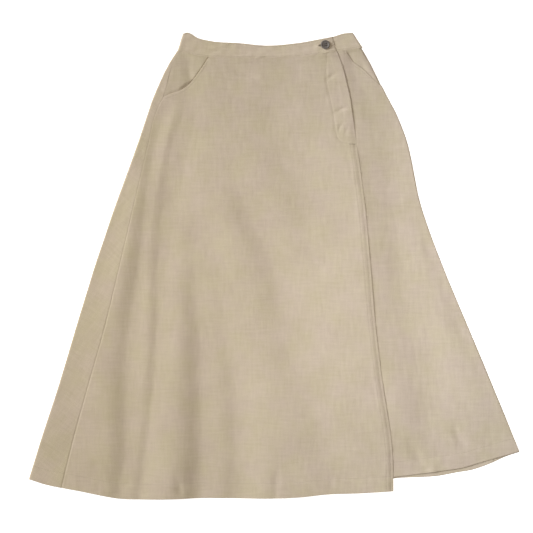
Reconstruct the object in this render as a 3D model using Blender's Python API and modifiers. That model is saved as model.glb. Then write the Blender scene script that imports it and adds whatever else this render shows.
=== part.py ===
# Wrap skirt in linen, laid flat on its back. Metres, +Z up.
# +X runs across towards the side where the front laps over, +Y from the hem to the waist.
# The underside lies on Z = 0 and the origin is below the middle of the whole outline.
# Every piece of cloth is a sheet of columns, each a row of points from its top to its hem,
# that a Solidify modifier turns into a wall.

import math

import bmesh
import bpy

MM = 0.001

# Cloth and clearances
WALL = 1.2 * MM                 # thickness of every cloth wall
GAP = 0.3 * MM                  # clearance between two pieces
SEAM_GAP = 0.5 * MM             # between the middles of two walls that meet edge to edge
LAYER = WALL + GAP              # height that one piece adds to the stack
GROUND = WALL / 2               # middle of the wall that rests on the surface

# Button and buttonhole
BUTTON_X = 103.0 * MM
BUTTON_Y = 441.0 * MM
BUTTON_RADIUS = 9.0 * MM
BUTTON_THICKNESS = 3.0 * MM
BUTTON_RIM = 1.8 * MM           # width of the raised rim
BUTTON_WELL = 0.8 * MM          # depth of the dished middle
BUTTON_HOLE_RADIUS = 0.95 * MM
BUTTON_HOLE_SPREAD = 2.7 * MM   # from the centre to each of the four holes
SHANK_RADIUS = 1.3 * MM         # wrapped thread below the button
BUTTON_LIFT = 1.2 * MM          # the shank holds the lapped band this far up
SLOT_LENGTH = 20.0 * MM
SLOT_WIDTH = 3.4 * MM
SLOT_X = 97.0 * MM
SLOT_Y = 440.0 * MM
SLOT_TURN = math.radians(10)    # the band climbs towards its end

# Lines that run down the skirt, as X in millimetres at each of these heights
LINE_Y = (440, 400, 340, 300, 240, 120, 0, -120, -240, -360, -470)
LINES = {
    "left_fold": (-186, -212, -240, -254, -274, -317, -358, -395, -431, -470, -503),
    "left_seam": (-180, -203, -220, -238, -252, -280, -308, -337, -371, -404, -430),
    "crease_a": (-195, -200, -209, -232, -247, -266, -282, -301, -311, -309, -321),
    "crease_b": (-170, -175, -183, -190, -209, -229, -240, -241, -250, -264, -275),
    "crease_c": (-148, -152, -156, -158, -161, -167, -175, -168, -166, -165, -168),
    "crease_d": (-127, -128, -129, -129, -130, -131, -127, -111, -97, -93, -93),
    "crease_e": (-70, -75, -85, -92, -98, -77, -20, 1, 28, 80, 100),
    "crease_f": (-6, -16, -26, -24, -7, 41, 55, 62, 80, 112, 130),
    "placket_line": (106, 104, 110, 117, 127, 143, 154, 164, 179, 196, 198),
    "lap_edge": (122, 137, 152, 158, 167, 183, 194, 204, 219, 237, 240),
    "crease_i": (170, 181, 195, 201, 209, 219, 235, 248, 273, 296, 325),
    "crease_j": (176, 190, 212, 226, 245, 270, 317, 358, 417, 462, 505),
    "right_fold": (171, 194, 225, 246, 268, 294, 337, 387, 437, 486, 530),
    "right_seam": (171, 193, 219, 236, 252, 272, 309, 351, 393, 431, 468),
    "inner_edge": (-92, -94, -98, -101, -106, -120, -138, -158, -178, -198, -215),
    "left_bag": (-112, -112, -112, -113, -116, -120, -120, -120, -120, -120, -120),
    "right_bag": (96, 96, 96, 98, 102, 110, 110, 110, 110, 110, 110),
}

# Edges that run across the skirt, as (X, Y) in millimetres
WAIST_SEAM = ((-192, 430), (-160, 420), (-132, 416), (-72, 414), (-16, 414), (46, 416),
              (92, 422), (124, 427), (176, 435))
BAND_TOP = ((-187, 452), (-182, 461), (-175, 465), (-166, 463), (-152, 454), (-132, 449),
            (-112, 446), (-72, 444), (-12, 439), (48, 444), (88, 451), (118, 457), (138, 463),
            (156, 465))
BAND_LEAN = ((-193, 10), (-60, 0), (60, -2), (127, -9), (174, -19))   # of its columns, by X
LEFT_MOUTH = ((-224, 336), (-216, 340), (-203, 346), (-188, 351), (-172, 361), (-160, 373),
              (-147, 391), (-137, 405), (-131, 416))
RIGHT_MOUTH = ((142, 430), (147, 423), (158, 407), (171, 398), (181, 390), (205, 366), (214, 359))
LAP_HEM = ((-489, -427), (-452, -438), (-392, -449), (-332, -461), (-306, -465), (-248, -466),
           (-192, -465), (-132, -464), (-12, -465), (48, -463), (108, -457), (168, -455),
           (238, -451))
UNDER_HEM = ((-230, -446), (0, -444), (120, -436), (238, -423), (296, -416), (374, -405),
             (406, -396), (447, -384), (490, -372))
BACK_HEM = ((-489, -427), (-392, -444), (-300, -456), (-100, -456), (100, -446), (238, -426),
            (296, -423), (326, -421), (364, -414), (398, -408), (435, -397), (464, -387),
            (490, -377))
LEFT_BAG_HEM = ((-256, 226), (-190, 206), (-112, 232))
RIGHT_BAG_HEM = ((96, 232), (180, 206), (252, 226))

# How far the front stands off the layers below, in millimetres, at each height
PUFF = (
    # height, at the left fold, among the creases, in the middle, at the lap edge
    (440, 0.2, 0.2, 0.2, 0.2),
    (340, 0.8, 1.2, 1.0, 0.2),
    (200, 2.2, 3.4, 2.6, 0.3),
    (0, 3.2, 6.0, 3.6, 0.4),
    (-200, 4.0, 8.4, 4.4, 0.5),
    (-470, 4.6, 10.4, 5.2, 0.6),
)
PUFF_ACROSS = (0.0, 0.30, 0.62, 1.0)
UNDER_PUFF = ((440, 0.2), (300, 1.2), (120, 3.0), (-120, 4.2), (-470, 5.4))
UNDER_RISE = 50 * MM            # width over which the under front swells beside the lap edge

# Creases: how much of the puff each takes away at each height of LINE_Y, and its half width
CREASES = {
    "crease_a": ((0, 0, 0.2, 0.5, 0.8, 0.85, 0.85, 0.85, 0.85, 0.85, 0.9), 13 * MM),
    "crease_b": ((0, 0.2, 0.5, 0.6, 0.7, 0.6, 0.6, 0.5, 0.5, 0.55, 0.6), 12 * MM),
    "crease_c": ((0, 0, 0, 0, 0, 0.3, 0.6, 0.9, 0.96, 0.96, 0.97), 13 * MM),
    "crease_d": ((0, 0, 0, 0, 0, 0, 0.1, 0.4, 0.5, 0.5, 0.5), 15 * MM),
    "crease_e": ((0, 0, 0, 0, 0.1, 0.5, 0.6, 0.6, 0.5, 0.4, 0.1), 24 * MM),
    "crease_f": ((0, 0, 0.1, 0.4, 0.6, 0.6, 0.4, 0.2, 0, 0, 0), 22 * MM),
}
UNDER_CREASES = {
    "crease_i": ((0, 0, 0.2, 0.4, 0.7, 0.8, 0.8, 0.8, 0.8, 0.7, 0.5), 22 * MM),
    "crease_j": ((0, 0, 0, 0, 0, 0.4, 0.6, 0.5, 0.5, 0.3, 0.2), 14 * MM),
}

# Where the lapped edge and the left pocket mouth gape
LAP_GAPE = 5.0 * MM
LAP_GAPE_TOP = 415 * MM
LAP_GAPE_END = 225 * MM
LAP_GAPE_WIDTH = 38 * MM
MOUTH_GAPE = 3.0 * MM
MOUTH_GAPE_X = -166 * MM
MOUTH_GAPE_Y = 352 * MM
MOUTH_GAPE_RADIUS = 20 * MM
BAG_INSET = 3 * MM              # the bag's front layer stays this far inside the mouth and the seam
FOLD_LOOK = 4 * MM              # a folded edge takes its height this far inside the outline
SEAM_LEVEL = 430 * MM           # mean height of the waist seam at the two folded edges

# Where the sheets above the pocket bags and the placket rise, and over what distance
BAG_MARGIN_X = 14 * MM
BAG_MARGIN_Y = 42 * MM
BAG_FADE = 50 * MM
UNDER_BAG_MARGIN_X = 32 * MM
PLACKET_FADE = 30 * MM
PLACKET_END = 240 * MM
LAP_MARGIN = 22 * MM
LAP_FADE = 40 * MM
STRIP_LEVEL_TOP = 385 * MM      # the strip left of the side seam is down at facing height here
STRIP_LEVEL_END = 345 * MM

# Numbers of faces
PANEL_ROWS = 24                 # below the level where the pocket mouths end
HIP_ROWS = 3                    # above it, on the back panel
BAG_ROWS = 7
BAND_ROWS = 3
BACK_COLUMNS = 12               # across the back, in the panel and in its band alike
INNER_COLUMNS = 10              # of the band below the lap
OUTER_COLUMNS = 18              # of the band on top
BAG_COLUMNS = 5
PLACKET_ROWS = 5
FOLD_STEPS = 6                  # round a folded edge
BAG_FOLD_STEPS = 4

LINEN_COLOUR = (0.55, 0.46, 0.34, 1.0)
BAG_COLOUR = (0.60, 0.52, 0.40, 1.0)
BUTTON_COLOUR = (0.12, 0.10, 0.085, 1.0)


# ---------------------------------------------------------------- curves

def smooth(stations, values, at):
    """Value at one place of a smooth curve through values at rising or falling stations."""
    if stations[0] > stations[-1]:
        stations = stations[::-1]
        values = values[::-1]
    last = len(stations) - 1
    i = 0
    while i < last - 1 and at > stations[i + 1]:
        i += 1
    slopes = []
    for k in (i, i + 1):
        low = max(k - 1, 0)
        high = min(k + 1, last)
        slopes.append((values[high] - values[low]) / (stations[high] - stations[low]))
    span = stations[i + 1] - stations[i]
    t = (at - stations[i]) / span
    if t < 0:
        return values[i] + slopes[0] * t * span
    if t > 1:
        return values[i + 1] + slopes[1] * (t - 1) * span
    rise = values[i + 1] - values[i]
    start = slopes[0] * span
    end = slopes[1] * span
    return values[i] + start * t + (3 * rise - 2 * start - end) * t ** 2 + (start + end - 2 * rise) * t ** 3


def ramp(at, low, high):
    """0 below low, 1 above high and an even S between; high may be the smaller one."""
    t = min(max((at - low) / (high - low), 0.0), 1.0)
    return t * t * (3 - 2 * t)


def bell(distance, width):
    return math.exp(-(distance / width) ** 2)


def line_x(name, y):
    """X of a named line at height y."""
    return smooth(LINE_Y, LINES[name], y / MM) * MM


def edge_y(edge, x):
    """Y of an edge across the skirt at place x."""
    return smooth([p[0] for p in edge], [p[1] for p in edge], x / MM) * MM


def waist_seam(x):
    return edge_y(WAIST_SEAM, x)


def panel_top(x):
    return waist_seam(x) - SEAM_GAP / 2


def lap_top(x):
    """Top of the lapped front: the pocket mouth, then the waist seam."""
    if x < LEFT_MOUTH[-1][0] * MM:
        return min(edge_y(LEFT_MOUTH, x), panel_top(x))
    return panel_top(x)


def under_top(x):
    """Top of the under front: the waist seam, then the pocket mouth."""
    if x > RIGHT_MOUTH[0][0] * MM:
        return min(edge_y(RIGHT_MOUTH, x), panel_top(x))
    return panel_top(x)


def mouth_level(x):
    """From the end of one pocket mouth, at a side seam, to the end of the other."""
    left = meet(lap_top, line("left_seam"), 350 * MM)
    right = meet(under_top, line("right_seam"), 350 * MM)
    part = (x - line_x("left_seam", left)) / (line_x("right_seam", right) - line_x("left_seam", left))
    return left + (right - left) * part


# ---------------------------------------------------------------- heights

def crease_share(creases, x, y):
    """Share of the puff that the creases leave."""
    share = 1.0
    for name, (depths, width) in creases.items():
        depth = smooth(LINE_Y, depths, y / MM)
        share *= 1 - max(depth, 0.0) * bell(x - line_x(name, y), width)
    return share


def lap_puff(x, y):
    left = line_x("left_fold", y)
    across = (x - left) / (line_x("lap_edge", y) - left)
    heights = [row[0] for row in PUFF]
    profile = [smooth(heights, [row[k] for row in PUFF], y / MM) for k in range(1, 5)]
    return max(smooth(PUFF_ACROSS, profile, across), 0.1) * MM


def right_bag_rise(x, y, extra):
    """1 over the right pocket bag; extra widens the place for a sheet that lies on another."""
    edge = line_x("right_bag", y) - UNDER_BAG_MARGIN_X - extra
    foot = min(p[1] for p in RIGHT_BAG_HEM) * MM - BAG_MARGIN_Y - extra
    return ramp(x, edge - BAG_FADE, edge) * ramp(y, foot - BAG_FADE, foot)


def left_bag_rise(x, y):
    edge = line_x("left_bag", y) + BAG_MARGIN_X
    foot = min(p[1] for p in LEFT_BAG_HEM) * MM - BAG_MARGIN_Y
    rise = ramp(x, edge + BAG_FADE, edge) * ramp(y, foot - BAG_FADE, foot)
    if x < line_x("left_seam", y):
        rise *= ramp(y, STRIP_LEVEL_TOP, STRIP_LEVEL_END)
    return rise


def placket_rise(x, y):
    edge = line_x("placket_line", y) - PLACKET_FADE
    return ramp(x, edge, edge + PLACKET_FADE / 2) * ramp(y, PLACKET_END - PLACKET_FADE, PLACKET_END)


def lap_height(x, y):
    """Middle of the top sheet: the strip rolled from the back, the lapped front and its band."""
    inner = line_x("inner_edge", y) - LAP_MARGIN
    layers = 1 + ramp(x, inner - LAP_FADE, inner)
    layers += 2 * left_bag_rise(x, y)
    layers += 2 * right_bag_rise(x, y, BAG_FADE)
    layers += placket_rise(x, y)
    gape = LAP_GAPE * ramp(x, line_x("lap_edge", y) - LAP_GAPE_WIDTH, line_x("lap_edge", y))
    gape *= math.sin(math.pi * min(max((y - LAP_GAPE_END) / (LAP_GAPE_TOP - LAP_GAPE_END), 0.0), 1.0))
    mouth = MOUTH_GAPE * bell(math.hypot(x - MOUTH_GAPE_X, y - MOUTH_GAPE_Y), MOUTH_GAPE_RADIUS)
    shank = BUTTON_LIFT * bell(math.hypot(x - BUTTON_X, y - BUTTON_Y), 2 * BUTTON_RADIUS)
    puff = lap_puff(x, y) * crease_share(CREASES, x, y)
    return GROUND + layers * LAYER + puff + gape + mouth + shank


def under_height(x, y):
    """Middle of the sheet below it: the under front and its band."""
    layers = 1 + 2 * right_bag_rise(x, y, 0.0)
    puff = smooth([p[0] for p in UNDER_PUFF], [p[1] for p in UNDER_PUFF], y / MM) * MM
    puff *= ramp(x, line_x("lap_edge", y), line_x("lap_edge", y) + UNDER_RISE)
    return GROUND + layers * LAYER + puff * crease_share(UNDER_CREASES, x, y)


def ground_height(x, y):
    return GROUND


def facing_height(x, y):
    return GROUND + LAYER


def bag_height(x, y):
    return GROUND + 2 * LAYER


def placket_height(x, y):
    return lap_height(x, y) - LAYER


# ---------------------------------------------------------------- sheets

def meet(edge, line, guess):
    """Y where a line down the skirt meets an edge across it."""
    y = guess
    for _ in range(60):
        y = (y + edge(line(y))) / 2
    return y


def spread(high, low, rows):
    return [high + (low - high) * j / rows for j in range(rows + 1)]


def column(line, top, hem, height, rows):
    """Points down a line from the top edge to the hem."""
    levels = spread(meet(top, line, 400 * MM), meet(hem, line, -430 * MM), rows)
    return [(line(y), y, height(line(y), y)) for y in levels]


def back_column(line, hem, height):
    """As column, with a row at the level where the side seams begin to lie off the edge."""
    split = meet(mouth_level, line, 350 * MM)
    levels = spread(meet(panel_top, line, 400 * MM), split, HIP_ROWS)
    levels += spread(split, meet(hem, line, -430 * MM), PANEL_ROWS)[1:]
    return [(line(y), y, height(line(y), y)) for y in levels]


def between(first, second, part):
    return lambda y: first(y) * (1 - part) + second(y) * part


def lines_between(guides, counts):
    """Lines at each guide and evenly spaced between each pair of them."""
    result = [guides[0]]
    for first, second, count in zip(guides, guides[1:], counts):
        result += [between(first, second, k / count) for k in range(1, count + 1)]
    return result


def columns_between(guides, counts, top, hem, height, rows):
    return [column(run, top, hem, height, rows) for run in lines_between(guides, counts)]


def line(name, shift=0.0):
    return lambda y: line_x(name, y) + shift


def fold_round(column_in, column_out, side, steps):
    """Columns of the half round between two columns that lie one above the other."""
    result = []
    for k in range(1, steps):
        turn = math.pi * k / steps
        points = []
        for a, b in zip(column_in, column_out):
            radius = (a[2] - b[2]) / 2
            part = k / steps
            x = a[0] * (1 - part) + b[0] * part + side * abs(radius) * math.sin(turn)
            y = a[1] * (1 - part) + b[1] * part
            z = (a[2] + b[2]) / 2 + radius * math.cos(turn)
            points.append((x, y, z))
        result.append(points)
    return result


def fold_inset(name, height, side):
    """The line where a sheet leaves its flat run for the half round at a folded edge."""
    def inset(y):
        x = line_x(name, y)
        radius = (height(x - side * FOLD_LOOK, y) - GROUND) / 2
        return x - side * (radius + WALL / 2)
    return inset


def make_material(name, colour, roughness):
    material = bpy.data.materials.new(name)
    material.use_nodes = True
    shader = material.node_tree.nodes["Principled BSDF"]
    shader.inputs["Base Color"].default_value = colour
    shader.inputs["Roughness"].default_value = roughness
    shader.inputs["Metallic"].default_value = 0.0
    return material


def make_sheet(name, columns, collection, material):
    """A cloth wall through the columns."""
    mesh = bpy.data.meshes.new(name)
    builder = bmesh.new()
    grid = [[builder.verts.new(point) for point in points] for points in columns]
    for here, there in zip(grid, grid[1:]):
        for j in range(len(here) - 1):
            builder.faces.new((here[j], here[j + 1], there[j + 1], there[j]))
    builder.to_mesh(mesh)
    builder.free()
    mesh.shade_smooth()
    mesh.materials.append(material)
    piece = bpy.data.objects.new(name, mesh)
    collection.objects.link(piece)
    wall = piece.modifiers.new("Wall", "SOLIDIFY")
    wall.thickness = WALL
    wall.offset = 0.0
    wall.use_even_offset = True
    return piece


# ---------------------------------------------------------------- pieces

def back_panel(collection, material):
    """Bottom panel; its left side folds over the left edge to the side seam on the front."""
    turn = fold_inset("left_fold", lap_height, -1)

    def lap_hem(x):
        return edge_y(LAP_HEM, x)

    def back_hem(x):
        return edge_y(BACK_HEM, x)

    strip = [back_column(run, lap_hem, lap_height)
             for run in lines_between([line("left_seam", -SEAM_GAP / 2), turn], [4])]
    floor = [back_column(run, back_hem, ground_height)
             for run in lines_between([turn, line("right_seam", -SEAM_GAP / 2)], [BACK_COLUMNS])]
    half_round = fold_round(strip[-1], floor[0], -1, FOLD_STEPS)
    return make_sheet("back_panel", strip + half_round + floor, collection, material)


def front_overlap(collection, material):
    """Top front, from the left side seam to the free lapped edge."""
    names = ("crease_a", "crease_b", "crease_c", "crease_d", "crease_e", "crease_f",
             "placket_line", "lap_edge")
    guides = [line("left_seam", SEAM_GAP / 2)] + [line(name) for name in names]
    counts = (5, 3, 6, 4, 7, 4, 5, 3)
    columns = columns_between(guides, counts, lap_top, lambda x: edge_y(LAP_HEM, x),
                              lap_height, PANEL_ROWS)
    return make_sheet("front_overlap", columns, collection, material)


def front_underlap(collection, material):
    """Under front; its right side folds under to the side seam on the back."""
    turn = fold_inset("right_fold", under_height, 1)
    guides = [line("inner_edge"), line("lap_edge"), line("crease_i"), line("crease_j"), turn]
    front = columns_between(guides, (7, 4, 5, 2), under_top, lambda x: edge_y(UNDER_HEM, x),
                            under_height, PANEL_ROWS)
    strip = columns_between([turn, line("right_seam", SEAM_GAP / 2)], [3], under_top,
                            lambda x: edge_y(BACK_HEM, x), ground_height, PANEL_ROWS)
    half_round = fold_round(front[-1], strip[0], 1, FOLD_STEPS)
    return make_sheet("front_underlap", front + half_round + strip, collection, material)


def pocket(name, seam, inner, side, mouth_top, bag_hem, collection, material):
    """Hip facing with the bag behind it: a sheet folded at the bag's inner side."""
    inset = (LAYER + WALL) / 2
    turn = line(inner, -side * inset)

    def hem(x):
        return edge_y(bag_hem, x)

    facing = columns_between([line(seam, side * GAP), turn], [BAG_COLUMNS], panel_top, hem,
                             facing_height, BAG_ROWS)
    bag = columns_between([turn, line(seam, side * BAG_INSET)], [BAG_COLUMNS],
                          lambda x: mouth_top(x) - BAG_INSET, hem, bag_height, BAG_ROWS)
    half_round = fold_round(facing[-1], bag[0], side, BAG_FOLD_STEPS)
    return make_sheet(name, facing + half_round + bag, collection, material)


def placket(collection, material):
    """Facing below the lapped edge, as deep as its curved row of stitches."""
    columns = columns_between([line("placket_line"), line("lap_edge")], [3], lap_top,
                              lambda x: edge_y(LAP_HEM, x), placket_height, PANEL_ROWS)
    facing = [points[:PLACKET_ROWS + 1] for points in columns]
    return make_sheet("placket", facing, collection, material)


def band_column(x, height):
    """Points across the band, from the waist seam to its top edge."""
    seam = waist_seam(x) + SEAM_GAP / 2
    lean = smooth([p[0] for p in BAND_LEAN], [p[1] for p in BAND_LEAN], x / MM) * MM
    top_x = x + lean
    top = edge_y(BAND_TOP, top_x)
    points = []
    for j in range(BAND_ROWS + 1):
        part = j / BAND_ROWS
        place = x + lean * part
        y = seam + (top - seam) * part
        points.append((place, y, height(place, y)))
    return points


def band_run(start, end, count, height):
    return [band_column(start + (end - start) * k / count, height) for k in range(count + 1)]


def waistband(collection, material):
    """One strip: from its inner end below the lap round the right, the back and the left."""
    right_turn = fold_inset("right_fold", under_height, 1)(SEAM_LEVEL)
    left_turn = fold_inset("left_fold", lap_height, -1)(SEAM_LEVEL)
    inner = band_run(line_x("inner_edge", SEAM_LEVEL), right_turn, INNER_COLUMNS, under_height)
    back = band_run(right_turn, left_turn, BACK_COLUMNS, ground_height)
    outer = band_run(left_turn, line_x("lap_edge", SEAM_LEVEL), OUTER_COLUMNS, lap_height)
    right_round = fold_round(inner[-1], back[0], 1, FOLD_STEPS)
    left_round = fold_round(back[-1], outer[0], -1, FOLD_STEPS)
    columns = inner + right_round + back + left_round + outer
    band = make_sheet("waistband", columns, collection, material)
    slot = band.modifiers.new("Buttonhole", "BOOLEAN")
    slot.operation = "DIFFERENCE"
    slot.solver = "EXACT"
    slot.object = buttonhole_cutter()
    return band


def buttonhole_cutter():
    """Cuts only the lapped layer of the band."""
    low = lap_height(SLOT_X, SLOT_Y) - WALL / 2 - GAP / 2
    high = low + 4 * WALL
    bpy.ops.mesh.primitive_cube_add(size=1)
    cutter = bpy.context.object
    cutter.name = "buttonhole_cutter"
    for vertex in cutter.data.vertices:
        vertex.co.x *= SLOT_LENGTH
        vertex.co.y *= SLOT_WIDTH
        vertex.co.z *= high - low
    cutter.location = (SLOT_X, SLOT_Y, (low + high) / 2)
    cutter.rotation_euler = (0, 0, SLOT_TURN)
    return keep_as_cutter(cutter)


def keep_as_cutter(cutter):
    cutter.hide_render = True
    cutter.display_type = "WIRE"
    for collection in list(cutter.users_collection):
        collection.objects.unlink(cutter)
    bpy.data.collections["cutters"].objects.link(cutter)
    return cutter


def button(collection, material):
    """Turned disc with a rim, four holes and the wrapped thread that it stands on."""
    underside = max(lap_height(BUTTON_X + dx, BUTTON_Y + dy)
                    for dx in (-BUTTON_RADIUS, 0, BUTTON_RADIUS)
                    for dy in (-BUTTON_RADIUS, 0, BUTTON_RADIUS)) + WALL / 2 + GAP
    foot = under_height(BUTTON_X, BUTTON_Y) + WALL / 2 + GAP
    top = underside + BUTTON_THICKNESS
    edge = 0.6 * MM
    profile = (
        (0, top - BUTTON_WELL),
        (BUTTON_RADIUS - BUTTON_RIM - edge, top - BUTTON_WELL),
        (BUTTON_RADIUS - BUTTON_RIM, top),
        (BUTTON_RADIUS - edge, top),
        (BUTTON_RADIUS, top - edge),
        (BUTTON_RADIUS, underside + edge),
        (BUTTON_RADIUS - edge, underside),
        (SHANK_RADIUS, underside),
        (SHANK_RADIUS, foot),
        (0, foot),
    )
    mesh = bpy.data.meshes.new("button")
    points = [(radius, 0, z) for radius, z in profile]
    mesh.from_pydata(points, [(k, k + 1) for k in range(len(points) - 1)], [])
    mesh.materials.append(material)
    piece = bpy.data.objects.new("button", mesh)
    piece.location = (BUTTON_X, BUTTON_Y, 0)
    collection.objects.link(piece)
    turned = piece.modifiers.new("Turned", "SCREW")
    turned.steps = 28
    turned.render_steps = 28
    turned.use_merge_vertices = True
    turned.merge_threshold = 0.00005
    for k in range(4):
        angle = math.radians(45 + 90 * k)
        bpy.ops.mesh.primitive_cylinder_add(
            vertices=10, radius=BUTTON_HOLE_RADIUS, depth=4 * BUTTON_THICKNESS,
            location=(BUTTON_X + BUTTON_HOLE_SPREAD * math.cos(angle),
                      BUTTON_Y + BUTTON_HOLE_SPREAD * math.sin(angle), top))
        drill = bpy.context.object
        drill.name = f"button_drill_{k + 1}"
        hole = piece.modifiers.new(f"Hole {k + 1}", "BOOLEAN")
        hole.operation = "DIFFERENCE"
        hole.solver = "EXACT"
        hole.object = keep_as_cutter(drill)
    return piece


def main():
    for item in list(bpy.data.objects):
        bpy.data.objects.remove(item, do_unlink=True)
    skirt = bpy.data.collections.new("wrap_skirt")
    cutters = bpy.data.collections.new("cutters")
    bpy.context.scene.collection.children.link(skirt)
    bpy.context.scene.collection.children.link(cutters)
    cloth = {name: make_material(name, LINEN_COLOUR, 0.9)
             for name in ("back_linen", "overlap_linen", "underlap_linen", "band_linen")}
    bags = {name: make_material(name, BAG_COLOUR, 0.9)
            for name in ("left_pocket_linen", "right_pocket_linen", "placket_linen")}
    back_panel(skirt, cloth["back_linen"])
    front_underlap(skirt, cloth["underlap_linen"])
    front_overlap(skirt, cloth["overlap_linen"])
    waistband(skirt, cloth["band_linen"])
    pocket("pocket_left", "left_seam", "left_bag", 1, lap_top, LEFT_BAG_HEM,
           skirt, bags["left_pocket_linen"])
    pocket("pocket_right", "right_seam", "right_bag", -1, under_top, RIGHT_BAG_HEM,
           skirt, bags["right_pocket_linen"])
    placket(skirt, bags["placket_linen"])
    button(skirt, make_material("button_plastic", BUTTON_COLOUR, 0.45))


main()
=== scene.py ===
import math

import bmesh
import bpy
import numpy as np
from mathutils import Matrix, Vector
from mathutils.bvhtree import BVHTree


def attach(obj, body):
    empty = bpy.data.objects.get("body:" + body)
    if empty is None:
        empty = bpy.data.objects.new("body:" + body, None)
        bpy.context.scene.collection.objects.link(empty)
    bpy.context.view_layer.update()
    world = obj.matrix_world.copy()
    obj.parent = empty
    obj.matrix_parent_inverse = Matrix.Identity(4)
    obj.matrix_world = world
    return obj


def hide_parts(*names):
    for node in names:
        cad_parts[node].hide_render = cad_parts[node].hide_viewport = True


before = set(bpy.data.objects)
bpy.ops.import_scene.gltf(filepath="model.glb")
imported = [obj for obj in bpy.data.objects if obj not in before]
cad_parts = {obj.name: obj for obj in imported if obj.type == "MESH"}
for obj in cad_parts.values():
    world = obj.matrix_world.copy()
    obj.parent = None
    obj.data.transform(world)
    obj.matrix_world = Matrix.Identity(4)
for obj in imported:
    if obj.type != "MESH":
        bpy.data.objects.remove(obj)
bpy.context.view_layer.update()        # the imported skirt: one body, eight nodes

mm = 0.001
print("frame loaded with", len(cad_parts), "nodes")

# A wrap skirt in linen, laid flat on its back. Sizes are in millimetres until a mesh is made.
# X runs across towards the side where the front laps over, Y from the hem to the waist, Z up.

stack = {
    "ground": 0.6,       # middle of the cloth that rests on the surface
    "layer": 1.5,        # from one layer's middle to the next
    "shell": 0.8,        # thickness of plain cloth
    "turned": 1.2,       # thickness where it is folded over and sewn down
    "placket": 0.5,      # the facing below the lapped edge, which is cut from thinner cloth
    "seam": 0.05,        # between two edges that are sewn together
    "rim": 0.10,         # rounding of a cut edge
    "foldRound": 0.9,    # how far in from a folded edge its rounding reaches
    "foldLook": 4,       # a folded edge takes its height this far inside the outline
    "foldInset": 0.6,    # flat run that is left between a half round and the outline
    "leastRim": 0.12,    # square of the share of the thickness that is left at a folded edge
    "sharpAngle": 25,    # edges of the cloth that turn more than this are sharp, in degrees
}

# Lines that run down the skirt, as X at each of these heights
lineHeights = (440, 400, 340, 300, 240, 120, 0, -120, -240, -360, -470)
lines = {
    "leftFold": (-186, -212, -240, -254, -274, -317, -358, -395, -431, -470, -503),
    "leftSeam": (-180, -203, -220, -238, -252, -280, -308, -337, -371, -404, -430),
    "creaseA": (-195, -200, -209, -232, -247, -266, -282, -301, -311, -311, -325),
    "creaseB": (-170, -175, -183, -190, -209, -229, -240, -241, -249, -262, -276),
    "creaseC": (-148, -152, -156, -158, -161, -167, -175, -168, -166, -165, -168),
    "creaseD": (-127, -128, -129, -129, -130, -131, -127, -111, -97, -93, -93),
    "creaseE": (-70, -75, -85, -92, -98, -77, -20, 1, 28, 80, 100),
    "creaseF": (-6, -16, -26, -24, -7, 41, 55, 62, 80, 112, 130),
    "placketLine": (106, 104, 110, 117, 127, 143, 154, 164, 179, 196, 198),
    "lapEdge": (121, 136, 151, 157, 166, 182, 193, 203, 218, 236, 239),
    "creaseI": (170, 181, 195, 201, 209, 219, 235, 248, 273, 296, 325),
    "creaseJ": (176, 190, 212, 226, 245, 270, 317, 358, 417, 462, 505),
    "rightFold": (171, 194, 225, 246, 268, 294, 337, 387, 437, 486, 530),
    "rightSeam": (171, 193, 219, 236, 252, 272, 309, 351, 393, 431, 468),
    "rightRim": (171, 194, 222, 236, 252, 272, 309, 351, 393, 431, 468),
    "innerEdge": (-92, -94, -98, -101, -106, -120, -138, -158, -178, -198, -215),
    "leftBag": (-112, -112, -112, -113, -116, -120, -120, -120, -120, -120, -120),
    "rightBag": (96, 96, 96, 98, 102, 110, 110, 110, 110, 110, 110),
}

# Edges that run across it
edges = {
    "waistSeam": ((-192, 430), (-160, 420), (-132, 416), (-72, 414), (-16, 414), (46, 416),
                  (92, 422), (124, 427), (176, 435)),
    "bandTop": ((-187, 452), (-182, 461), (-175, 465), (-166, 463), (-152, 454), (-132, 449),
                (-112, 446), (-72, 444), (-12, 439), (48, 444), (88, 451), (118, 457), (138, 463),
                (156, 465)),
    "leftMouth": ((-224, 335), (-216, 339), (-203, 344), (-188, 349), (-172, 359.5), (-160, 372),
                  (-147, 390), (-137, 404.5), (-131, 416)),
    "rightMouth": ((142, 430), (147, 423), (158, 407), (171, 398), (181, 390), (205, 366),
                   (214, 359)),
    "lapHem": ((-489, -427), (-452, -438), (-392, -449), (-332, -461), (-306, -465), (-248, -466),
               (-192, -465), (-132, -464), (-12, -465), (48, -463), (108, -457), (168, -455),
               (238, -451)),
    "underHem": ((-230, -446), (0, -444), (120, -436), (238, -423), (296, -416), (374, -405),
                 (406, -396), (447, -384), (490, -372)),
    "backHem": ((-489, -427), (-392, -444), (-300, -456), (-100, -456), (100, -446), (238, -426),
                (296, -423), (326, -421), (364, -414), (398, -408), (435, -394.5), (464, -381.5),
                (490, -373)),
    "leftBagHem": ((-256, 226), (-190, 206), (-112, 232)),
    "rightBagHem": ((96, 232), (180, 206), (252, 226)),
}
bandLean = ((-193, 10), (-60, 0), (60, -2), (127, -9), (174, -19))
seamLevel = 430          # mean height of the waist seam at the two folded edges
farOff = 1e6             # stands for no edge at all


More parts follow.
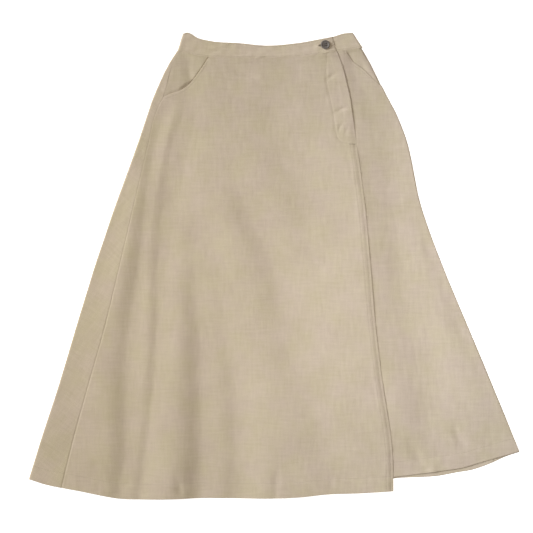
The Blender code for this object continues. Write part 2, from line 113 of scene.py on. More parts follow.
def curve(stations, values, at):
    # smooth curve through values, straight on past its ends; a value may be an array
    stations, values, at = (np.asarray(part, float) for part in (stations, values, at))
    if stations[0] > stations[-1]:
        stations, values = stations[::-1], values[::-1]
    here = np.arange(len(stations))
    before, after = np.maximum(here - 1, 0), np.minimum(here + 1, len(here) - 1)
    slopes = ((values[after] - values[before]).T / (stations[after] - stations[before])).T
    k = np.clip(np.searchsorted(stations, at) - 1, 0, len(stations) - 2)
    span = stations[k + 1] - stations[k]
    t = (at - stations[k]) / span

    def pick(whole, k):
        return whole[k] if whole.ndim == 1 else np.take_along_axis(whole, k[None], 0)[0]

    low, high = pick(values, k), pick(values, k + 1)
    start, end = pick(slopes, k) * span, pick(slopes, k + 1) * span
    rise = high - low
    inside = low + start * t + (3 * rise - 2 * start - end) * t ** 2 + (start + end - 2 * rise) * t ** 3
    return np.where(t < 0, low + start * t, np.where(t > 1, high + end * (t - 1), inside))


def tableAt(table, at):
    stations, values = zip(*table)
    return curve(stations, values, at)


def ramp(at, low, high):
    # 0 below low, 1 above high; high may be the smaller one
    t = np.clip((at - low) / (high - low), 0, 1)
    return t * t * (3 - 2 * t)


def bell(distance, width):
    return np.exp(-(distance / width) ** 2)


def lineX(name, y):
    return curve(lineHeights, lines[name], y)


def edgeY(name, x):
    return tableAt(edges[name], x)


def lineAt(name, shift=0.0):
    return lambda y: lineX(name, y) + shift


def edgeAt(name):
    return lambda x: edgeY(name, x)


def panelTop(x):
    return edgeY("waistSeam", x) - stack["seam"] / 2


def lapTop(x):
    # the left pocket's mouth, then the waist seam
    mouth = np.where(x < edges["leftMouth"][-1][0], edgeY("leftMouth", x), farOff)
    return np.minimum(mouth, panelTop(x))


def underTop(x):
    # the waist seam, then the right pocket's mouth
    mouth = np.where(x > edges["rightMouth"][0][0], edgeY("rightMouth", x), farOff)
    return np.minimum(mouth, panelTop(x))


def meet(edge, line, guess):
    # Y where lines down the skirt meet an edge across it
    y = np.asarray(guess, float)
    for _ in range(60):
        y = (y + edge(line(y))) / 2
    return y


# How far the front stands off the layers below: height; at the left fold, among the creases,
# in the middle and at the lapped edge
puff = (
    (440, 0.2, 0.2, 0.2, 0.2),
    (340, 0.6, 1.8, 1.2, 0.6),
    (200, 1.4, 4.4, 3.0, 2.8),
    (0, 2.0, 8.0, 4.8, 4.9),
    (-200, 2.8, 11.4, 5.6, 5.5),
    (-470, 3.6, 14.0, 6.4, 5.9),
)
puffAcross = (0.0, 0.30, 0.62, 1.0)
underPuff = ((440, 0.2), (300, 1.1), (120, 3.0), (-120, 4.6), (-470, 5.4))
underFall = {"rise": 0.8, "fall": 1.9, "width": 20}      # beside the lapped edge, below the placket
underFlat = {"foldWidth": 90, "foldShare": 0.2, "hemWidth": 150, "hemShare": 0.93}
lapFlat = {"cornerWidth": 240, "cornerHeight": 180, "cornerShare": 0.82}

# Main creases: the share of the puff that each takes at the line heights, and the half widths
# of its left and right walls at the waist and at the hem. The line is where the left wall is
# steepest, and the right one rises slowly.
lapCreases = {
    "creaseA": ((0, 0, 0.2, 0.6, 0.74, 0.50, 0.46, 0.50, 0.54, 0.50, 0.50), (11, 27), (22, 54)),
    "creaseB": ((0, 0.3, 0.55, 0.6, 0.58, 0.42, 0.38, 0.34, 0.33, 0.33, 0.32), (12, 14), (38, 66)),
    "creaseC": ((0, 0, 0, 0, 0.0, 0.22, 0.46, 0.68, 0.82, 0.86, 0.87), (20, 34), (32, 82)),
    "creaseD": ((0, 0, 0, 0, 0, 0, 0.25, 0.50, 0.75, 0.85, 0.85), (22, 26), (34, 50)),
    "creaseE": ((0, 0, 0, 0, 0.1, 0.6, 0.8, 0.55, 0.45, 0.65, 0.6), (20, 42), (40, 60)),
    "creaseF": ((0, 0.3, 0.7, 0.9, 1.0, 0.6, 0.25, 0.1, 0, 0, 0), (40, 40), (70, 70)),
}
underCreases = {
    "creaseI": ((0, 0, 0.3, 0.5, 0.7, 0.75, 0.75, 0.75, 0.75, 0.7, 0.6), (26, 40), (50, 70)),
    "creaseJ": ((0, 0, 0, 0, 0, 0.2, 0.3, 0.3, 0.2, 0.1, 0), (14, 18), (24, 30)),
}
wallLine = 0.7          # of a left wall's half width, from the line to the bottom

rises = {
    "lapGape": 0.05, "lapGapeTop": 415, "lapGapeEnd": 240, "lapGapeWidth": 50,
    "mouthGape": 1.3, "mouthAt": (-176, 357), "mouthRadius": 12, "mouthDipWidth": 12,
    "bagFade": 50, "underBagMarginX": 32, "lapMargin": 22, "seamRidgeWidth": 9, "edgeRollWidth": 14,
    "buttonLift": 0.7, "waistRise": 0.8, "waistWidth": 8, "topRollWidth": 12,
    # where the pockets' mouths lie: across on either side, and down to here
    "leftMouthEnd": -115, "rightMouthStart": 130, "mouthFoot": 300,
    # at the middle of the right facing's lip: how much more it dips, where, and how wide
    "rightLipMore": (0.5, 177, 8),
    # distances from an edge between which something sets in
    "hemPucker": (40, 22), "edgePucker": (22, 10), "shownFrom": (-6, 14), "coverFade": (-60, 0),
    "placketGap": 0.03,
}
grades = {
    # a first and a last value, and the places down or across the skirt between which one turns
    # into the other
    "bagRise": (0, 2, 64, 164), "lapFade": (60, 120, 220, 290), "creaseWidth": (0, 1, 400, -400),
    "topRoll": (0, 0.7, 388, 415), "edgeRoll": (0, 1, 305, 250), "seamRidge": (0.03, 0.07, 100, -300),
    "ledgeTop": (0, 0.62, 430, 405), "ledgeFoot": (0, 1, 235, 300), "ledgeReach": (24, 46, 380, 310),
    "fallTop": (0, 1, 290, 240), "fallFoot": (0, 1, -200, -80), "floorCrease": (0, 0.5, 200, -200),
    "broadWaves": (0, 1, 445, 380), "leftDip": (0.1, 0.4, -143, -163), "rightDip": (0.15, 0.65, 175, 150),
    "leftLip": (0.55, 0.85, -210, -185), "rightLip": (0.35, 1.35, 192, 150),
    "rightLipWidth": (10, 30, 195, 165),
}
edgeRolls = ((240, 1.1), (0, 1.1), (-100, 1.1), (-180, 1.45), (-240, 1.6), (-300, 1.2), (-350, 1.15),
             (-385, 1.5), (-460, 1.35))
button = {
    "x": 102.3, "y": 440.0, "radius": 9.0, "segments": 72, "gap": 0.1,
    # half of its section, from the middle of the top round to the middle of the underside
    "section": ((0, 1.9), (3.9, 1.88), (5.2, 1.92), (5.9, 2.06), (6.4, 2.32), (6.8, 2.54), (7.3, 2.66),
                (7.8, 2.7), (8.3, 2.62), (8.7, 2.42), (8.93, 2.12), (9.0, 1.8), (8.96, 1.4), (8.7, 0.9),
                (8.2, 0.45), (7.4, 0.15), (6.2, 0), (0, 0)),
    "hole": 0.95, "holeFlare": 1.25, "holeSpread": 2.7, "holeTurn": 8,
    "strand": 0.2, "strands": 3, "shank": 0.85, "coil": 1.05, "coilPitch": 0.38,
}


def graded(name, at):
    first, last, *ends = grades[name]
    return first + (last - first) * ramp(at, *ends)


def creaseShare(creases, x, y):
    down = graded("creaseWidth", y)
    share = np.ones_like(x)
    for name, (depths, *widths) in creases.items():
        left, right = (waist + (hem - waist) * down for waist, hem in widths)
        away = x - lineX(name, y) - wallLine * left
        depth = np.clip(curve(lineHeights, depths, y), 0, 1)
        share *= 1 - depth * bell(away, np.where(away < 0, left, right))
    return share


def lapPuff(x, y):
    # with its creases, and flatter towards the lower corner of the lapped edge
    fold, edge = lineX("leftFold", y), lineX("lapEdge", y)
    heights, *columns = zip(*puff)
    across = curve(puffAcross, [curve(heights, column, y) for column in columns], (x - fold) / (edge - fold))
    corner = ramp(y - edgeY("underHem", x), lapFlat["cornerHeight"], 0) * (y < 0)
    corner *= ramp(x, edge - lapFlat["cornerWidth"], edge)
    return np.maximum(across, 0.1) * creaseShare(lapCreases, x, y) * (1 - lapFlat["cornerShare"] * corner)


def bagRise(y):
    # the hips lie over the pocket bags, and the cloth bridges the hollow between them
    return graded("bagRise", y)


def waistRise(x, y):
    # the seam allowance of the waist lifts the cloth on both sides of its seam
    return rises["waistRise"] * bell(y - edgeY("waistSeam", x) - 1, rises["waistWidth"])


def topRoll(x, y):
    # the band's lapped end and the edge just below it are pressed down
    fromEdge = lineX("lapEdge", y) - x
    return graded("topRoll", y) * ramp(fromEdge, rises["topRollWidth"], 0)


def lapForm(x, y):
    # middle of the top sheet: the strip rolled from the back, the lapped front and its band
    inner = lineX("innerEdge", y) - rises["lapMargin"]
    layers = 1 + ramp(x, inner - graded("lapFade", y), inner) + bagRise(y)
    edge = lineX("lapEdge", y)
    along = np.clip((y - rises["lapGapeEnd"]) / (rises["lapGapeTop"] - rises["lapGapeEnd"]), 0, 1)
    gape = rises["lapGape"] * ramp(x, edge - rises["lapGapeWidth"], edge) * np.sin(math.pi * along)
    lift = rises["buttonLift"] * bell(np.hypot(x - button["x"], y - button["y"]), 2 * button["radius"])
    z = stack["ground"] + layers * stack["layer"] + lapPuff(x, y) + gape + lift + waistRise(x, y)
    return z - topRoll(x, y)


def ledgeFall(x, y):
    # beside the placket the under front and its pocket bag fall away from the lapped edge
    edge = lineX("lapEdge", y)
    beside = ramp(x, edge + 1, edge + graded("ledgeReach", y))
    return beside * graded("ledgeTop", y) * graded("ledgeFoot", y)


def underForm(x, y):
    # middle of the sheet below it: the under front and its band
    bag = lineX("rightBag", y) - rises["underBagMarginX"]
    edge, fold = lineX("lapEdge", y), lineX("rightFold", y)
    layers = 1 + ramp(x, bag - rises["bagFade"], bag) * bagRise(y) * (1 - ledgeFall(x, y))
    form = tableAt(underPuff, y) * creaseShare(underCreases, x, y)
    # it falls away from the lapped edge, and flattens towards its folded edge and its hem
    away = 1 - np.exp(-np.maximum(x - edge, 0) / underFall["width"])
    form += (underFall["rise"] - underFall["fall"] * away) * graded("fallTop", y) * graded("fallFoot", y)
    form *= 1 - underFlat["foldShare"] * ramp(x, fold - underFlat["foldWidth"], fold)
    form *= 1 - underFlat["hemShare"] * ramp(y - edgeY("underHem", x), underFlat["hemWidth"], 0) * (y < 0)
    # under the lapped front it sinks away from the lapped edge
    covered = np.minimum(form * ramp(x - edge, *rises["coverFade"]), lapPuff(x, y))
    return stack["ground"] + layers * stack["layer"] + np.where(x < edge, covered, form) + waistRise(x, y)


sewing = {
    "hemStitch": 30,             # above each hem
    "lapStitches": (6, 14),      # in from the lapped edge, below the placket
    "lapStitchTop": 244,
    # cloth turned in: where its thickness begins to rise, and where it is all there
    "hemTurned": (31.5, 29), "lapTurned": (18.5, 16), "topTurned": (9, 7), "innerTurned": (14, 12),
    "mouthStitch": 6,            # below the pocket mouths
    "bandStitch": 2.6,           # inside both long edges of the band
    "groove": 0.14,              # how far a row pulls the cloth in
    "grooveWidth": 1.4,
    "placketStitch": ((105, 423), (104, 371), (112, 330), (117, 305), (122, 272), (125, 257),
                      (134, 246), (147, 244), (158, 244)),
}

# Small folds: points along each one, how far it lifts (or sinks, below 0) the cloth at them,
# and how wide it is to the left and to the right of its line
lapFolds = (
    (((-102, 404), (-69, 386), (-42, 377), (-32, 368)), (0, -1.0, -1.0, 0), 6, 9),
    (((50, 401), (46, 382), (43, 361)), (0, -0.5, 0), 7, 9),
    (((-194, -421), (-190, -440), (-188, -455)), (-0.8, -1.6, -1.4), 6, 7),
    (((-412, -420), (-412, -436)), (-0.5, -0.5), 5, 6),
    (((2, -402), (6, -423), (4, -443), (3, -462)), (0, -1.3, -0.9, -1.2), 9, 7),
    (((70, -432), (71, -450)), (-0.3, -0.3), 5, 6),
    (((114, -426), (115, -446)), (-0.25, -0.25), 5, 6),
    (((144, 315), (133, 311), (121, 305)), (-0.5, -1.1, -0.4), 3, 3),
    (((124, 383), (114, 377), (103, 369)), (-0.5, -1.1, -0.4), 3, 3),
    (((137, 284), (131, 275), (127, 264)), (-0.2, -0.6, -0.2), 3, 3),
    (((148, 280), (145, 270), (140, 261)), (-0.2, -0.5, -0.2), 3, 3),
    (sewing["placketStitch"], (-0.25, -0.3, -0.3, -0.3, -0.3, -0.3, -0.35, -0.3, -0.2), 2.6, 2.6),
    (((-251, 205), (-271, 120), (-293, 30), (-315, -60), (-340, -150)), (0, 3.2, 3.2, 1.8, 0), 30, 30),
    (((-74, 260), (-70, 150), (-76, 50), (-92, -60), (-96, -200)), (0, 2.6, 2.4, 1.6, 0), 58, 80),
    (((30, -300), (30, -380), (30, -475)), (0, -1.6, -2.4), 45, 60),
    (((-352, -250), (-352, -360), (-352, -475)), (0, -2.0, -3.0), 70, 34),
    (((-186, 230), (-182, 200), (-178, 150)), (0, -0.5, 0), 6, 12),
    (((-195, 330), (-200, 300), (-216, 250), (-226, 200), (-231, 170)), (0, 0.7, 0.8, 0.3, 0), 14, 11),
    (((-216, 250), (-226, 200), (-231, 170), (-240, 110), (-246, 50), (-250, -20), (-251, -80), (-252, -140)),
     (0, 0.6, 1.1, 1.5, 1.3, 1.1, 0.6, 0), 14, 24),
    (((-171, 330), (-176, 300), (-192, 250), (-202, 200), (-207, 170)), (0, 0.9, 0.9, 0.5, 0), 26, 18),
    (((163, 40), (169, -30), (172, -95), (178, -150)), (0, 1.2, 1.4, 0), 60, 24),
)
facingFolds = (
    (((-174, 437), (-172, 405), (-169, 383), (-167, 367)), (-0.3, -1.1, -1.4, -1.3), 10, 9),
)
underFolds = (
    (((302, 55), (308, 30), (315, 8)), (0, -0.8, 0), 9, 9),
    (((353, -318), (364, -336), (375, -353), (382, -371)), (0, -1.2, -1.2, 0), 9, 9),
    (((262, -345), (274, -362), (287, -384), (297, -404)), (0, -1.3, -1.6, -0.5), 10, 12),
    (((312, -385), (317, -400), (319, -414)), (0, 0.8, 1.4), 12, 12),
)


def foldLift(folds, x, y):
    # sum of the small folds at each point
    lift = np.zeros_like(x)
    for points, depths, left, right in folds:
        points = np.array(points, float)
        reach = 3 * max(left, right)
        low, high = points.min(0) - reach, points.max(0) + reach
        near = (x > low[0]) & (x < high[0]) & (y > low[1]) & (y < high[1])
        if not near.any():
            continue
        numbers = np.arange(len(points))
        stops = np.linspace(0, len(points) - 1, 4 * len(points) + 1)
        pathX, pathY, heights = (curve(numbers, values, stops) for values in (*points.T, depths))
        px, py = x[near], y[near]
        best = np.full(px.shape, 1e9)
        side, depth = np.zeros_like(px), np.zeros_like(px)
        for k in range(len(stops) - 1):
            runX, runY = pathX[k + 1] - pathX[k], pathY[k + 1] - pathY[k]
            fromX, fromY = px - pathX[k], py - pathY[k]
            t = np.clip((fromX * runX + fromY * runY) / (runX * runX + runY * runY), 0, 1)
            away = np.hypot(fromX - t * runX, fromY - t * runY)
            closer = away < best
            best = np.where(closer, away, best)
            side = np.where(closer, fromX * runY - fromY * runX, side)
            depth = np.where(closer, heights[k] + (heights[k + 1] - heights[k]) * t, depth)
        # a fold runs downwards, so its left side has a negative cross product
        lift[near] += depth * bell(best, np.where(side < 0, right, left))
    return lift


waves = {
    # height, and lengths across and down
    "broad": (0.22, 70, 120), "fine": (0.08, 18, 30), "hem": (0.10, 16, 60), "edge": (0.16, 60, 18),
    "floor": (1.0, 90, 420), "facing": (0.10, 20, 30), "bandOuter": (0.20, 26, 14), "bandInner": (0.10, 26, 14),
}
waveCount = 14


def unevenness(kind, x, y, seed):
    # soft waves in all directions
    height, across, down = waves[kind]
    random = np.random.default_rng(seed)
    total = np.zeros_like(x)
    for _ in range(waveCount):
        turn = random.uniform(0, 2 * math.pi)
        size = random.uniform(0.6, 1.5)
        phase = random.uniform(0, 2 * math.pi)
        total += np.cos(2 * math.pi * size * (x * math.cos(turn) / across + y * math.sin(turn) / down) + phase)
    return height * total / math.sqrt(waveCount)


def frontWaves(x, y, hem, seed):
    # all over a front, with puckers between its hem's fold and its row of stitches
    z = graded("broadWaves", y) * unevenness("broad", x, y, seed) + unevenness("fine", x, y, seed + 1)
    return z + ramp(y - edgeY(hem, x), *rises["hemPucker"]) * unevenness("hem", x, y, seed + 2)


def groove(distance):
    return -sewing["groove"] * bell(distance, sewing["grooveWidth"])


def mouthPress(side, x, y):
    # a pocket's edge lies on the facing, pressed down more towards one end, with stitches below it
    above = y - edgeY(side + "Mouth", x)
    dip = graded(side + "Dip", x) * ramp(-above, rises["mouthDipWidth"], 0)
    return groove(above + sewing["mouthStitch"]) - dip


def seamRidge(beside, y):
    # the allowance of the side seam lifts the cloth above it
    return graded("seamRidge", y) * bell(beside, rises["seamRidgeWidth"])


def lapSurface(x, y):
    z = lapForm(x, y) + foldLift(lapFolds, x, y) + frontWaves(x, y, "lapHem", 11)
    # the allowance lies below the strip, and the front dips beside it
    beside = x - lineX("leftSeam", y)
    z += np.where(beside < 0, 1, -1) * seamRidge(beside, y)
    front = (beside > 0) & (x < rises["leftMouthEnd"])
    z += front * mouthPress("left", x, y)
    z += groove(y - edgeY("lapHem", x) - sewing["hemStitch"])
    fromEdge = lineX("lapEdge", y) - x
    low = ramp(y, sewing["lapStitchTop"] + 8, sewing["lapStitchTop"] - 8)
    for distance in sewing["lapStitches"]:
        z += low * groove(fromEdge - distance)
    z += ramp(fromEdge, *rises["edgePucker"]) * unevenness("edge", x, y, 14)
    # below the placket the lapped edge rolls down on the cloth under it
    return z - graded("edgeRoll", y) * tableAt(edgeRolls, y) * ramp(fromEdge, rises["edgeRollWidth"], 0)


def underSurface(x, y):
    z = underForm(x, y) + foldLift(underFolds, x, y)
    z += ramp(x - lineX("lapEdge", y), *rises["shownFrom"]) * frontWaves(x, y, "underHem", 21)
    front = (x > rises["rightMouthStart"]) & (y > rises["mouthFoot"])
    z += front * mouthPress("right", x, y)
    return z + groove(y - edgeY("underHem", x) - sewing["hemStitch"])


def groundSurface(x, y):
    # rests flat below, with low creases where nothing presses it down
    return stack["ground"] + graded("floorCrease", y) * np.maximum(unevenness("floor", x, y, 31), 0) ** 1.5


def facingLow(above, high, lip, lipWidth):
    # hip facing: sewn in level with the band, it dips just above the pocket's mouth and sinks below it
    z = high - lip * ramp(above, lipWidth, 0)
    low = np.minimum(stack["ground"] + stack["layer"], z)
    return z + (low - z) * ramp(above, -0.5, -8)


def leftFacing(x, y):
    beside = x - lineX("leftSeam", y)
    above = y - edgeY("leftMouth", x)
    lip = (graded("leftDip", x) + graded("leftLip", x)) * ramp(beside, 1, 14)
    mouthX, mouthY = rises["mouthAt"]
    gape = bell(np.hypot(x - mouthX, y - mouthY), rises["mouthRadius"])
    z = facingLow(above, lapForm(x, y) + seamRidge(beside, y), lip + rises["mouthGape"] * gape, 4.5 + 5 * gape)
    return z + ramp(above, -6, 0) * (foldLift(facingFolds, x, y) + unevenness("facing", x, y, 51))


def rightFacing(x, y):
    above = y - edgeY("rightMouth", x)
    more, place, width = rises["rightLipMore"]
    lip = graded("rightDip", x) + graded("rightLip", x) + more * bell(x - place, width)
    lip = lip * ramp(panelTop(x) - y, 0, 9)
    z = facingLow(above, underForm(x, y), lip, graded("rightLipWidth", x))
    z = z + ramp(above, -6, 0) * unevenness("facing", x, y, 52)
    # it turns down to the back panel at the folded edge
    turn = np.clip((x - lineX("rightRim", y)) / pockets["turnDown"] + 1, 0, 1)
    low = stack["ground"] + 0.6 * stack["layer"]
    return low + (z - low) * np.sqrt(1 - turn ** 2)


def leftBagSurface(x, y):
    return np.full_like(x, stack["ground"] + 2 * stack["layer"])


def rightBagSurface(x, y):
    return stack["ground"] + stack["layer"] * (2 - 0.8 * ledgeFall(x, y))


def placketSurface(x, y):
    return lapSurface(x, y) - (stack["turned"] + stack["placket"]) / 2 - rises["placketGap"]


def even(count):
    return np.linspace(0, 1, count + 1)


def sheetPart(left, right, parts, top, hem, surface, spec):
    # a grid of points between two lines down the skirt, with close rows near its ends
    parts = np.asarray(parts, float)[:, None]

    def columns(y):
        return left(y) * (1 - parts) + right(y) * parts

    first = meet(top, columns, np.full(parts.shape, 400.0))
    last = meet(hem, columns, np.full(parts.shape, -430.0))
    high = first - np.asarray(spec["nearTop"], float)
    low = last + np.asarray(spec["nearHem"], float)
    middle = np.interp(even(spec["rows"]), (0, 0.42, 1), (0, 0.24, 1))[1:-1]
    y = np.concatenate([high, high[:, -1:] + (low[:, :1] - high[:, -1:]) * middle, low], 1)
    x = columns(y)
    return np.stack([x, y, surface(x, y)], 2)


def foldInset(name, surface, side):
    # where a sheet leaves its flat run for the half round at a folded edge
    def inset(y):
        x = lineX(name, y)
        radius = (surface(x - side * stack["foldLook"], y) - stack["ground"]) / 2
        return x - side * (radius + stack["foldInset"])
    return inset


def halfRound(inner, outer, side, steps):
    # columns between two that lie one above the other
    rounds = []
    for part in even(steps)[1:-1]:
        radius = (inner[:, 2] - outer[:, 2]) / 2
        middle = inner * (1 - part) + outer * part
        middle[:, 0] += side * np.abs(radius) * math.sin(math.pi * part)
        middle[:, 2] = (inner[:, 2] + outer[:, 2]) / 2 + radius * math.cos(math.pi * part)
        rounds.append(middle)
    return np.stack(rounds)


def laidBack(points, foldName):
    # cloth that is rolled round a folded edge, laid back beside it as it was cut
    y = points[..., 1]
    foldX = lineX(foldName, y)
    slope = (lineX(foldName, y + 5) - lineX(foldName, y - 5)) / 10
    length = np.sqrt(1 + slope ** 2)
    alongX, alongY = slope / length, 1 / length
    away = points[..., 0] - foldX
    return np.stack([foldX + away * (2 * alongX * alongX - 1), y + away * 2 * alongX * alongY], -1)


def addPiece(name, data):
    piece = bpy.data.objects.new(name, data)
    bpy.context.scene.collection.objects.link(piece)
    return piece


def modify(piece, kind, **settings):
    rule = piece.modifiers.new(kind.title(), kind)
    for key, value in settings.items():
        setattr(rule, key, value)
    return rule


def settled(piece):
    # the mesh that a piece's modifiers make
    return bpy.data.meshes.new_from_object(piece.evaluated_get(bpy.context.evaluated_depsgraph_get()))


def settle(piece):
    # keeps that mesh in place of its own
    old = piece.data
    piece.data = settled(piece)
    piece.data.name = piece.name
    piece.modifiers.clear()
    bpy.data.meshes.remove(old)


def makeCloth(name, points, weave, thickness, material):
    # a thin shell through a grid of points; thickness is given at each point
    columns, rows = points.shape[:2]
    mesh = bpy.data.meshes.new(name)
    number = np.arange(columns * rows).reshape(columns, rows)
    faces = np.stack([number[:-1, :-1], number[:-1, 1:], number[1:, 1:], number[1:, :-1]], -1).reshape(-1, 4)
    mesh.from_pydata((points.reshape(-1, 3) * mm).tolist(), [], faces.tolist())
    corners = np.empty(len(mesh.loops), np.int32)
    mesh.loops.foreach_get("vertex_index", corners)
    flat = (weave.reshape(-1, 2) * mm)[corners]
    mesh.uv_layers.new(name="weave").uv.foreach_set("vector", flat.astype(np.float32).ravel())
    mesh.shade_smooth()
    mesh.materials.append(material)
    piece = addPiece(name, mesh)
    thickest = float(thickness.max())
    group = piece.vertex_groups.new(name="thickness")
    shares = np.round(thickness.reshape(-1) / thickest, 2)
    for share in np.unique(shares):
        group.add(np.nonzero(shares == share)[0].tolist(), float(share), "REPLACE")
    modify(piece, "SOLIDIFY", thickness=thickest * mm, offset=0, vertex_group="thickness", use_even_offset=True)
    modify(piece, "BEVEL", width=stack["rim"] * mm, segments=2, limit_method="ANGLE",
           angle_limit=math.radians(60))
    settle(piece)
    piece.data.set_sharp_from_angle(angle=math.radians(stack["sharpAngle"]))
    piece.vertex_groups.clear()
    print(name, "made from", len(faces), "faces")
    return piece


def setInputs(node, inputs):
    # sets each of a node's inputs, or links it to an output
    for key, value in dict(inputs).items():
        if isinstance(value, bpy.types.NodeSocket):
            node.id_data.links.new(value, node.inputs[key])
        else:
            node.inputs[key].default_value = value


making = {}              # the tree that the functions below add their nodes to


def add(kind, inputs=(), output=0, **settings):
    node = making["tree"].nodes.new(kind)
    for key, value in settings.items():
        setattr(node, key, value)
    setInputs(node, inputs)
    return node.outputs[output]


def calc(operation, a, b=0.0):
    return add("ShaderNodeMath", {0: a, 1: b}, operation=operation)


def plus(a, b):
    return calc("ADD", a, b)


def times(a, b):
    return calc("MULTIPLY", a, b)


def vector(operation, a, b, output=0):
    return add("ShaderNodeVectorMath", {0: a, 1: b}, output=output, operation=operation)


def noise(place, scale, detail=2.0, rough=0.5, distortion=0.0):
    return add("ShaderNodeTexNoise", {"Vector": place, "Scale": scale, "Detail": detail, "Roughness": rough,
                                      "Distortion": distortion})


def remap(value, low=0.0, high=1.0, newLow=0.0, newHigh=1.0):
    return add("ShaderNodeMapRange", {"Value": value, "From Min": low, "From Max": high, "To Min": newLow,
                                      "To Max": newHigh})


def mix(factor, a, b):
    a, b = (side if isinstance(side, bpy.types.NodeSocket) else (*side, 1) for side in (a, b))
    return add("ShaderNodeMix", {"Factor": factor, "A": a, "B": b}, output=2, data_type="RGBA")


def startMaterial(name):
    material = bpy.data.materials.new(name)
    material.use_nodes = True
    making["tree"] = material.node_tree
    return material


def finishMaterial(material, colour, roughness, relief, strength, depth, others):
    bump = add("ShaderNodeBump", {"Strength": strength, "Distance": depth * mm, "Height": relief})
    looks = {"Base Color": colour, "Roughness": roughness, "Normal": bump, **others}
    setInputs(material.node_tree.nodes["Principled BSDF"], looks)
    return material


linen = {
    "pitch": 0.58 * mm,                     # from one thread to the next
    "dark": (0.418, 0.334, 0.232),
    "light": (0.658, 0.556, 0.416),
    "threadLength": 34 * mm,                # over which one thread's shade changes
    "slubWidth": 4.6 * mm,
    "slubLength": 38 * mm,
    "slubTone": 0.80,
    "cool": (1.012, 0.998, 1.05), "warm": (0.988, 1.002, 0.95),
    # painted light: the linen's colour is made warmer on the left side of the skirt and cooler on the right, as
    # if lit by warmer light there
    "leftPaintedLight": (1.018, 1.004, 0.958), "rightPaintedLight": (0.978, 0.996, 1.055), "paintedLightSpan": (-0.36, 0.44),
    "roughness": (0.80, 0.95),
    "sheen": 0.18, "sheenTint": (0.80, 0.56, 0.34), "specular": 0.35,
    "bump": 0.55,
}


def linenMaterial(name, shade=1.0, seed=0.0):
    material = startMaterial(name)
    u, v = add("ShaderNodeSeparateXYZ", {0: add("ShaderNodeUVMap", uv_map="weave")}).node.outputs[:2]

    def mottle(x, y, scale, detail=2.0, rough=0.5):
        return noise(add("ShaderNodeCombineXYZ", {0: x, 1: y, 2: seed}), scale, detail, rough)

    # threads wander slightly off straight
    wander = 0.9 / linen["slubLength"]
    warpAt = plus(calc("DIVIDE", u, linen["pitch"]), times(mottle(u, v, wander), 2.4))
    weftAt = plus(calc("DIVIDE", v, linen["pitch"]), times(mottle(v, u, wander), 2.4))
    warpNumber, weftNumber = calc("FLOOR", warpAt), calc("FLOOR", weftAt)
    warpOver = calc("MODULO", calc("ABSOLUTE", plus(warpNumber, weftNumber)), 2.0)
    warpRound, weftRound = (calc("ABSOLUTE", calc("SINE", times(at, math.pi))) for at in (warpAt, weftAt))
    over, under = times(warpRound, calc("SQRT", weftRound)), times(weftRound, calc("SQRT", warpRound))
    weave = add("ShaderNodeMix", {"Factor": warpOver, "A": under, "B": over})

    # every thread has its own shade, which drifts along it
    along = 1 / linen["threadLength"]
    warpTone = mottle(times(warpNumber, 0.731), times(v, along), 1.0, 1.0)
    weftTone = mottle(times(weftNumber, 0.613), times(u, along), 1.0, 1.0)
    threadTone = add("ShaderNodeMix", {"Factor": warpOver, "A": weftTone, "B": warpTone})

    # slubs: thicker, paler or darker stretches of thread in both directions
    wide, long = 1 / linen["slubWidth"], 1 / linen["slubLength"]
    slubs = [mottle(times(u, a), times(v, b), 1.0, 3.0, 0.6) for a, b in ((wide, long), (long, wide))]
    slub = times(plus(*slubs), 0.5)
    tone = plus(times(threadTone, 0.42), times(slub, linen["slubTone"]))
    tone = plus(tone, times(mottle(u, v, 14.0, 3.0, 0.55), 0.30))
    tone = calc("SUBTRACT", tone, 0.17 + (linen["slubTone"] - 0.72) / 2)
    colour = mix(tone, *([c * shade for c in linen[side]] for side in ("dark", "light")))
    # painted shade: the colour darkens where the weave dips between its threads, as if shaded in those hollows
    between = remap(weave, 0, 1, 0.80, 1.08)
    colour = add("ShaderNodeVectorMath", {0: colour, "Scale": between}, operation="SCALE")

    # patches that are slightly pinker or yellower, and painted light: a drift in the light's colour from warmer
    # on the left side of the skirt to cooler on the right
    patch = remap(mottle(v, u, 17.0, 3.0, 0.6), 0.36, 0.64)
    sideways = add("ShaderNodeSeparateXYZ", {0: add("ShaderNodeTexCoord", output="Object")})
    drift = remap(sideways, *linen["paintedLightSpan"])
    for factor, first, second in ((patch, "warm", "cool"), (drift, "leftPaintedLight", "rightPaintedLight")):
        colour = vector("MULTIPLY", colour, mix(factor, linen[first], linen[second]))
    relief = plus(times(weave, plus(times(slub, 0.9), 0.5)), times(slub, 0.8))
    smooth, coarse = linen["roughness"]
    others = {"Sheen Weight": linen["sheen"], "Sheen Tint": (*linen["sheenTint"], 1), "Sheen Roughness": 0.5,
              "Specular IOR Level": linen["specular"]}
    rough = remap(tone, 0.3, 0.8, coarse, smooth)
    return finishMaterial(material, colour, rough, relief, linen["bump"], 0.16, others)


linens = {
    # shade, and where its pattern is taken from; the band's 1.04 is painted light, the same linen made paler to
    # make up for the shade that falls on the band
    "linenOuter": (1.0, 0.0), "linenUnder": (1.0, 3.7), "linenBack": (1.0, 7.1), "linenBand": (1.04, 11.3),
    "linenPocket": (0.97, 15.9),
}
outerLinen, underLinen, backLinen, bandLinenPaintedPaler, pocketLinen = (
    linenMaterial(name, *linens[name]) for name in linens)
print("linen mixed")


def foldedRim(distance):
    # share of the thickness that is left at this distance from a folded edge
    inward = np.clip(distance, 0, stack["foldRound"]) / stack["foldRound"]
    return np.sqrt(np.clip(1 - (1 - inward) ** 2, stack["leastRim"], 1))


